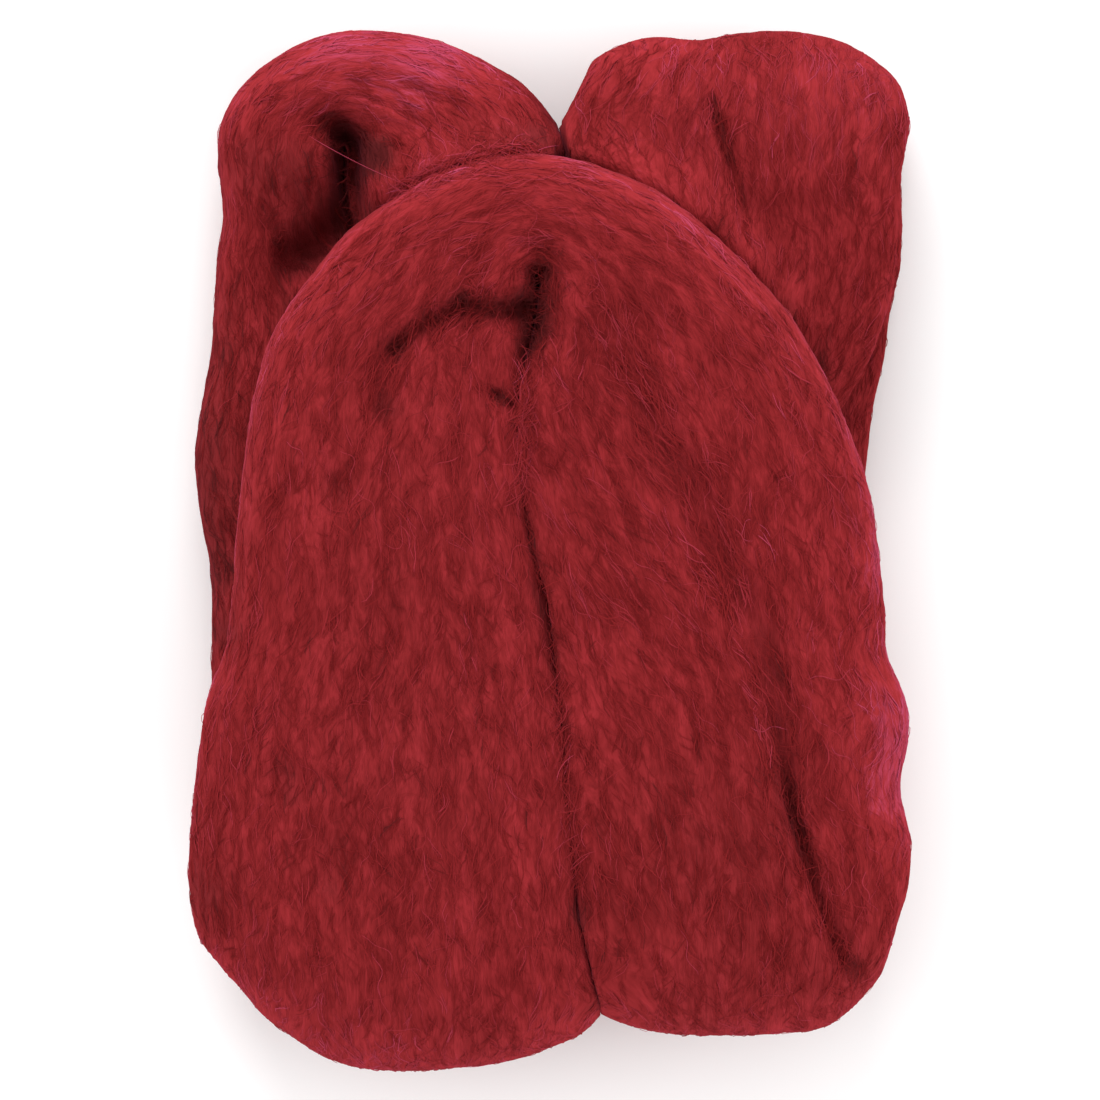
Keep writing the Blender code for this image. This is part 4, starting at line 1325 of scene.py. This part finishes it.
    @staticmethod
    def walked(steps: np.ndarray) -> np.ndarray:
        """Add steps up from each fibre's middle, so that it lies evenly about its seed."""
        total = np.cumsum(steps, axis=1) - steps / 2
        return total - total.mean(axis=1, keepdims=True)


class Pen:
    """Adds nodes to a shader tree and joins them."""

    def __init__(self, tree: bpy.types.NodeTree) -> None:
        """Keep the tree to draw in."""
        self.tree = tree

    def node(self, kind: str, values: Optional[dict] = None, **settings: object) -> bpy.types.Node:
        """Add a node.

        Args:
            kind: The node's type.
            values: Numbers for its input sockets, by name or place.
            settings: Its other settings.

        Returns:
            The new node.
        """
        made = self.tree.nodes.new(kind)
        for name, value in settings.items():
            setattr(made, name, value)
        for socket, value in (values or {}).items():
            made.inputs[socket].default_value = value
        return made

    def join(self, start: bpy.types.NodeSocket, end: bpy.types.NodeSocket) -> None:
        """Join one node's output to another's input."""
        self.tree.links.new(start, end)

    def ramp(self, factor: bpy.types.NodeSocket, stops: Stops) -> bpy.types.NodeSocket:
        """Add a colour ramp with these stops, and give its colour."""
        made = self.node("ShaderNodeValToRGB")
        elements = made.color_ramp.elements
        while len(elements) < len(stops):
            elements.new(0.5)
        for element, (place, colour) in zip(elements, stops):
            element.position = place
            element.color = (*colour, 1.0)
        self.join(factor, made.inputs["Fac"])
        return made.outputs["Color"]

    def math(self, operation: str, *inputs: object) -> bpy.types.NodeSocket:
        """Add a sum on numbers or sockets, and give its result."""
        made = self.node("ShaderNodeMath", operation=operation)
        for place, value in enumerate(inputs):
            if isinstance(value, (int, float)):
                made.inputs[place].default_value = value
            else:
                self.join(value, made.inputs[place])
        return made.outputs[0]


@dataclass(frozen=True)
class StreakGroup:
    """Shared shader group: mottled streaks of carded fibre, drawn out along the strand."""

    name: str = "carded_streaks"
    wander: float = 2.2           # how far the streaks meander
    wander_scale: float = 0.11    # and how often, by the millimetre
    streaks: tuple[tuple[float, float, float], ...] = (
        (2.8, 0.65, 0.60),        # length, width and share in the whole
        (5.0, 0.24, 0.40),
    )
    tuft: Span = (26.0, 5.0)      # length and width of a tuft
    roughness: float = 0.55       # of the noise

    def tree(self) -> bpy.types.NodeTree:
        """Give the group, which is made the first time that it is asked for."""
        found = bpy.data.node_groups.get(self.name)
        return found or self.make()

    def make(self) -> bpy.types.NodeTree:
        """Make the group: it reads a place on the strand and puts out streaks and tufts."""
        tree = bpy.data.node_groups.new(self.name, "ShaderNodeTree")
        tree.interface.new_socket(name="Place", in_out="INPUT", socket_type="NodeSocketVector")
        for name in ("Streaks", "Tufts"):
            tree.interface.new_socket(name=name, in_out="OUTPUT", socket_type="NodeSocketFloat")
        pen = Pen(tree)
        place = pen.node("NodeGroupInput").outputs["Place"]
        drift = pen.node("ShaderNodeTexNoise", {"Scale": self.wander_scale, "Detail": 1.0})
        pen.join(place, drift.inputs["Vector"])
        moved = pen.node("ShaderNodeVectorMath", operation="MULTIPLY_ADD")
        pen.join(drift.outputs["Color"], moved.inputs[0])
        moved.inputs[1].default_value = (0.0, self.wander * 2, self.wander * 2)
        pen.join(place, moved.inputs[2])
        total: object = 0.0
        for length, width, share in self.streaks:
            noise_of = self.drawn(pen, moved.outputs[0], length, width, 2.0)
            total = pen.math("MULTIPLY_ADD", noise_of, share, total)
        tufts = self.drawn(pen, moved.outputs[0], *self.tuft, 1.0)
        out = pen.node("NodeGroupOutput")
        pen.join(total, out.inputs["Streaks"])
        pen.join(tufts, out.inputs["Tufts"])
        return tree

    def drawn(self, pen: Pen, place: bpy.types.NodeSocket, length: float, width: float,
              detail: float) -> bpy.types.NodeSocket:
        """Add noise whose patches have this length and width, and give its value."""
        scaled = pen.node("ShaderNodeVectorMath", operation="MULTIPLY")
        pen.join(place, scaled.inputs[0])
        scaled.inputs[1].default_value = (1 / length, 1 / width, 1 / width)
        values = {"Scale": 1.0, "Detail": detail, "Roughness": self.roughness}
        made = pen.node("ShaderNodeTexNoise", values)
        pen.join(scaled.outputs[0], made.inputs["Vector"])
        return made.outputs["Fac"]


@dataclass(frozen=True)
class FeltedWool:
    """Finish of the body under the loose fibres: dense and matt, with painted shade in its creases
    and shut-in places and a painted highlight on its rims.
    """

    name: str = "felted_wool"
    # the lightest, pinkest stop is reached mostly through the painted rim highlight and light
    # patches
    tones: Stops = (
        (0.36, (0.130, 0.0096, 0.0108)),
        (0.54, (0.215, 0.0164, 0.0188)),
        (0.735, (0.305, 0.0245, 0.0300)),
        (1.00, (0.425, 0.0530, 0.1060)),
    )
    # painted shade: the colour that creases and shut-in places are mixed towards
    crease: Colour = (0.110, 0.0145, 0.0155)
    sheen: Colour = (1.0, 0.25, 0.40)
    tuft_share: float = 0.45      # how much the tufts count beside the streaks
    contrast: float = 0.75
    bump: float = 0.0007          # height of the streaks, in metres

    def material(self) -> bpy.types.Material:
        """Make the material."""
        made, shader = principled(self.name, {
            "Roughness": 0.95,
            "Specular IOR Level": 0.0,
            "Sheen Weight": 0.04,
            "Sheen Roughness": 0.4,
            "Sheen Tint": (*self.sheen, 1.0),
        })
        pen = Pen(made.node_tree)
        grain, deep, lit = (
            pen.node("ShaderNodeAttribute", attribute_name=name) for name in (GRAIN, PAINTED_SHADE, PAINTED_LIGHT_AND_TONE)
        )
        group = pen.node("ShaderNodeGroup", node_tree=StreakGroup().tree())
        pen.join(grain.outputs["Vector"], group.inputs["Place"])
        streaks, tufts = group.outputs["Streaks"], group.outputs["Tufts"]
        tone = pen.math("MULTIPLY_ADD", tufts, self.tuft_share, streaks)
        # painted light: the rim highlight and light patches raise the tone
        tone = pen.math("MULTIPLY_ADD", tone, self.contrast, lit.outputs["Fac"])
        colour = pen.ramp(tone, self.tones)
        mix = pen.node("ShaderNodeMix", data_type="RGBA")
        # painted shade: mix towards the crease colour
        pen.join(deep.outputs["Fac"], mix.inputs["Factor"])
        pen.join(colour, mix.inputs[6])
        mix.inputs[7].default_value = (*self.crease, 1.0)
        pen.join(mix.outputs[2], shader.inputs["Base Color"])
        bump = pen.node("ShaderNodeBump", {"Strength": 0.8, "Distance": self.bump})
        pen.join(streaks, bump.inputs["Height"])
        pen.join(bump.outputs["Normal"], shader.inputs["Normal"])
        return made


@dataclass(frozen=True)
class LooseFibre:
    """Finish of a coat of loose fibres, whose map holds each one's tone and its length."""

    name: str = "loose_fibre"
    # the darkest stop serves mostly painted shade, the lightest, pinkest one mostly the painted rim
    # highlight and light patches
    tones: Stops = (
        (0.00, (0.096, 0.0135, 0.0145)),
        (0.30, (0.170, 0.0118, 0.0128)),
        (0.55, (0.255, 0.0192, 0.0216)),
        (0.80, (0.350, 0.0340, 0.0540)),
        (1.00, (0.455, 0.0590, 0.1200)),
    )
    sheen: Colour = (1.0, 0.25, 0.42)
    tip_light: float = 0.10       # how much lighter the tips are than the middle

    def material(self) -> bpy.types.Material:
        """Make the material."""
        made, shader = principled(self.name, {
            "Roughness": 0.8,
            "Specular IOR Level": 0.0,
            "Sheen Weight": 0.12,
            "Sheen Roughness": 0.4,
            "Sheen Tint": (*self.sheen, 1.0),
        })
        pen = Pen(made.node_tree)
        place = pen.node("ShaderNodeUVMap", uv_map=BAKE_MAP)
        split = pen.node("ShaderNodeSeparateXYZ")
        pen.join(place.outputs["UV"], split.inputs[0])
        from_middle = pen.math("ABSOLUTE", pen.math("SUBTRACT", split.outputs["Y"], 0.5))
        tone = pen.math("MULTIPLY_ADD", from_middle, self.tip_light, split.outputs["X"])
        colour = pen.ramp(tone, self.tones)
        pen.join(colour, shader.inputs["Base Color"])
        return made


@dataclass
class WoolBody:
    """The felted body of the hank: the strand's surface as one closed piece."""

    surface: Surface
    name: str = "wool_body"
    fill: float = 0.5
    strips: int = 2               # rows that the strand takes up on the bake map
    margins: Span = (0.005, 0.01)    # kept free at a strip's ends and along it
    merge: float = 1e-8
    open_enough: float = 0.7      # openness under which the body darkens with painted shade
    shading: float = 1.3          # how fast it does so
    patch_share: float = 1.6      # how far patches of fibre darken the body, or undo its painted shade
    light_share: float = 0.7      # how far lighter ones lighten it as well
    rim_highlight: float = 0.17       # painted highlight: how much lighter its rims are

    def build(self, grain: np.ndarray, openness: np.ndarray) -> bpy.types.Object:
        """Wrap a grid round the surface and close it.

        Args:
            grain: Each point's place along and round the strand.
            openness: How open each point is to the light.

        Returns:
            The body's object.
        """
        stations, around = self.surface.shape
        painted_shade, painted_light_and_tone = self.shade(openness)
        bm = bmesh.new()
        strand_map = bm.loops.layers.uv.new(STRAND_MAP)
        bake_map = bm.loops.layers.uv.new(BAKE_MAP)
        place = bm.verts.layers.float_vector.new(GRAIN)
        deep = bm.verts.layers.float.new(PAINTED_SHADE)
        lit = bm.verts.layers.float.new(PAINTED_LIGHT_AND_TONE)
        bmesh.ops.create_grid(bm, x_segments=stations - 1, y_segments=around, size=1.0)
        for vert in bm.verts:
            i = round((vert.co.x + 1) / 2 * (stations - 1))
            j = round((vert.co.y + 1) / 2 * around)
            vert.index = i * (around + 1) + j
        end, side = self.margins
        for face in bm.faces:
            spots = [divmod(loop.vert.index, around + 1) for loop in face.loops]
            strip = min(i for i, _ in spots) * self.strips // (stations - 1)
            first = strip * (stations - 1) / self.strips
            for loop, (i, j) in zip(face.loops, spots):
                loop[strand_map].uv = (i / (stations - 1), j / around)
                across = (i - first) * self.strips / (stations - 1)
                loop[bake_map].uv = (
                    end + (1 - 2 * end) * across,
                    (strip + side + (1 - 2 * side) * j / around) / self.strips,
                )
        for vert in bm.verts:
            i, j = divmod(vert.index, around + 1)
            vert.co = self.surface.points[i, j % around] * MM
            vert[place] = grain[i, j % around]
            vert[deep] = painted_shade[i, j % around]
            vert[lit] = painted_light_and_tone[i, j % around]
        bmesh.ops.remove_doubles(bm, verts=bm.verts[:], dist=self.merge)
        bmesh.ops.recalc_face_normals(bm, faces=bm.faces[:])
        mesh = bpy.data.meshes.new(self.name)
        bm.to_mesh(mesh)
        bm.free()
        mesh.shade_smooth()
        return place_in_scene(self.name, mesh)

    def shade(self, openness: np.ndarray) -> tuple[np.ndarray, np.ndarray]:
        """Give each point's painted shade, from its creases and how shut in it is, and how much
        lighter than usual it is painted, by light patches and a painted rim highlight.
        """
        occlusion_shade = np.clip((self.open_enough - openness) * self.shading, 0, 1)
        light_shade_and_tone = self.surface.light_shade_and_tone()
        painted_shade = np.clip(np.maximum(self.surface.deep, occlusion_shade) - light_shade_and_tone * self.patch_share, 0, 1)
        up, height = self.surface.normals[:, :, 2], self.surface.points[:, :, 2]
        painted_light_and_tone = np.maximum(light_shade_and_tone, 0) * self.light_share
        return painted_shade, painted_light_and_tone + self.rim_highlight * rim_highlight_share(up, height, openness)


class Lamp(NamedTuple):
    """A soft square light that faces the bundle: its place in metres and its power in watts."""

    name: str
    place: tuple[float, float, float]
    power: float


@dataclass
class Studio:
    """A pale floor, soft lights and a camera straight above the bundle, all in metres."""

    floor_reach: float = 6.0
    lamp_side: float = 1.0
    lamps: tuple[Lamp, ...] = (
        Lamp("top_light", (-0.25, 1.4, 0.8), 19.0),
        Lamp("right_light", (1.5, 0.0, 0.7), 9.0),
        Lamp("bottom_light", (0.1, -1.5, 0.7), 8.0),
        Lamp("left_light", (-1.5, 0.0, 0.7), 5.0),
    )
    surroundings: float = 0.92    # strength of the even light from all round
    camera_height: float = 1.9
    focus_height: float = 0.022   # the height whose outline the photograph shows
    sensor: float = 36.0          # in millimetres

    def floor(self) -> None:
        """Lay the floor."""
        bm = bmesh.new()
        bmesh.ops.create_grid(bm, x_segments=1, y_segments=1, size=self.floor_reach)
        mesh = bpy.data.meshes.new("studio_floor")
        bm.to_mesh(mesh)
        bm.free()
        made, _ = principled("studio_floor", {
            "Base Color": (0.93, 0.93, 0.93, 1.0),
            "Roughness": 0.9,
            "Specular IOR Level": 0.1,
        })
        mesh.materials.append(made)
        place_in_scene("studio_floor", mesh)

    def light(self, lamp: Lamp) -> None:
        """Hang one light."""
        data = bpy.data.lights.new(lamp.name, "AREA")
        data.shape = "SQUARE"
        data.size = self.lamp_side
        data.energy = lamp.power
        obj = place_in_scene(lamp.name, data)
        obj.location = lamp.place
        obj.rotation_mode = "QUATERNION"
        obj.rotation_quaternion = (-Vector(lamp.place)).to_track_quat("-Z", "Y")

    def camera(self) -> None:
        """Stand the camera above the bundle, so that the frame is the photograph's."""
        data = bpy.data.cameras.new("camera")
        data.sensor_width = self.sensor
        data.sensor_fit = "HORIZONTAL"
        wide = PHOTO_SIDE * PIXEL * MM
        data.lens = self.sensor * (self.camera_height - self.focus_height) / wide
        data.clip_end = 20.0
        obj = place_in_scene("camera", data)
        right = (PHOTO_SIDE / 2 - PHOTO_CENTRE[0]) * PIXEL * MM
        up = (PHOTO_CENTRE[1] - PHOTO_SIDE / 2) * PIXEL * MM
        obj.location = (right, up, self.camera_height)
        bpy.context.scene.camera = obj

    def world(self) -> None:
        """Surround the bundle with even, pale light."""
        world = bpy.data.worlds.new("studio")
        world.use_nodes = True
        shader = world.node_tree.nodes["Background"]
        shader.inputs["Color"].default_value = (1.0, 1.0, 1.0, 1.0)
        shader.inputs["Strength"].default_value = self.surroundings
        bpy.context.scene.world = world

    def build(self) -> None:
        """Set up the whole studio."""
        self.world()
        self.floor()
        for lamp in self.lamps:
            self.light(lamp)
        self.camera()
        bpy.context.scene.view_settings.view_transform = "Standard"


CURLS = Coat("front_curls", Lie.FRONT, 1000, 105, length=(6.0, 12.0), width=0.10, stray=28.0,
             bend=70.0, loft=0.4, corners=12, wave=30.0, waves=1.6, tone=0.50, lock=1)
COATS = (
    Coat("front_left_fibres", Lie.FRONT_LEFT, 11100, 101),
    Coat("front_right_fibres", Lie.FRONT_RIGHT, 11100, 102),
    Coat("lobe_fibres", Lie.LOBES, 9600, 103),
    Coat("flank_fibres", Lie.FLANKS, 7101, 104, width=0.11, loft=0.20, sunk=0.12),
    CURLS,
    replace(CURLS, name="lobe_curls", lie=Lie.LOBES, count=220, seed=106, loft=0.3, tone=0.46),
)

# Fibres that bridge creases and edges. The dark ones in the pit, the hole, the pocket and along the
# crease lines are painted shade; the lighter ones across the middle crease and over the lobe beside
# the arch are painted light.
VEILS = (
    Veil((546, 244), (543, 280), 70, 1.1, 70.0, 60.0, (1.5, 4.0), 0.1, tone=0.30),
    Veil((541, 268), (538, 300), 44, 0.7, 70.0, 50.0, (1.5, 3.5), 0.1, tone=0.14),
    Veil((543, 278), (532, 354), 190, 1.5, 70.0, 60.0, (1.5, 3.5), 0.1, tone=0.08),
    Veil((524, 368), (522, 500), 280, 0.9, 82.0, 30.0, (3.0, 7.0), 0.2, tone=0.52),
    Veil((523, 502), (535, 562), 36, 0.3, -78.0, 16.0, (2.0, 4.5), 0.1, tone=0.24),
    Veil((535, 562), (550, 602), 60, 0.35, -70.0, 16.0, (2.0, 4.5), 0.1, tone=0.36),
    Veil((550, 602), (557, 690), 50, 0.35, -84.0, 20.0, (2.0, 4.5), 0.1, tone=0.30),
    Veil((556, 680), (578, 890), 240, 0.7, 84.0, 24.0, (3.0, 7.0), 0.2, tone=0.44),
    Veil((430, 312), (525, 306), 40, 1.2, 20.0, 40.0, (2.0, 5.0), 0.2, tone=0.26),
    Veil((388, 355), (425, 322), 20, 1.0, 45.0, 40.0, (2.0, 5.0), 0.2, tone=0.26),
    Veil((390, 198), (470, 158), 170, 1.0, 28.0, 24.0, (2.0, 4.5), 0.2, tone=0.60),
    Veil((405, 188), (515, 154), 120, 1.6, 20.0, 34.0, (2.0, 5.0), 0.4, tone=0.64),
    Veil((470, 158), (540, 151), 140, 0.9, 5.0, 24.0, (2.0, 4.5), 0.2, tone=0.56),
    Veil((328, 130), (350, 195), 60, 1.3, 60.0, 60.0, (1.5, 4.0), 0.2, tone=0.14),
    Veil((782, 700), (811, 866), 60, 0.9, 30.0, 60.0, (1.5, 4.0), 0.1, tone=0.30),
    Veil((498, 396), (511, 405), 26, 0.4, -35.0, 30.0, (1.0, 2.5), 0.0, tone=0.0),
    Veil((348, 186), (350, 222), 46, 0.7, 80.0, 40.0, (1.5, 4.0), 0.2, tone=0.14),
    Veil((713, 99), (724, 142), 34, 0.22, -75.0, 8.0, (2.0, 4.0), 0.05, bend=20.0, tone=0.14),
    Veil((724, 142), (729, 158), 16, 0.25, -72.0, 8.0, (2.0, 4.0), 0.05, bend=20.0, tone=0.14),
    Veil((266, 212), (290, 258), 50, 1.0, 50.0, 60.0, (1.5, 3.5), 0.2, tone=0.20),
    Veil((354, 161), (354, 161), 1, 0.0, -27.3, 0.0, (18.0, 18.1), 0.8, bend=12.0, tone=0.70,
         width=0.12),
)


def dress(obj: bpy.types.Object, material: bpy.types.Material) -> None:
    """Give a piece its material and its body, and report it."""
    obj.data.materials.append(material)
    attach(obj, BODY)
    triangles = sum(len(face.vertices) - 2 for face in obj.data.polygons)
    LOG.info("%s: %d triangles", obj.name, triangles)


def main() -> None:
    """Build the body, its fibres and the studio."""
    logging.basicConfig(level=logging.INFO, format="%(message)s")
    noise.seed_set(NOISE_SEED)
    surface = Strand().surface()
    grain = surface.grain()
    LOG.info("surface: %d stations by %d places", *surface.shape)
    fleece = Fleece(Strand().surface(veiled=True))
    openness = fleece.openness()
    body = WoolBody(surface)
    piece = body.build(grain, openness)
    dress(piece, FeltedWool().material())
    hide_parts(NODE)
    loose = LooseFibre().material()
    for coat in COATS:
        dress(fleece.grow(coat, openness, grain, surface.turns()), loose)
    dress(fleece.bridge("bridging_fibres", VEILS, 107), loose)
    Studio().build()


if __name__ == "__main__":
    main()
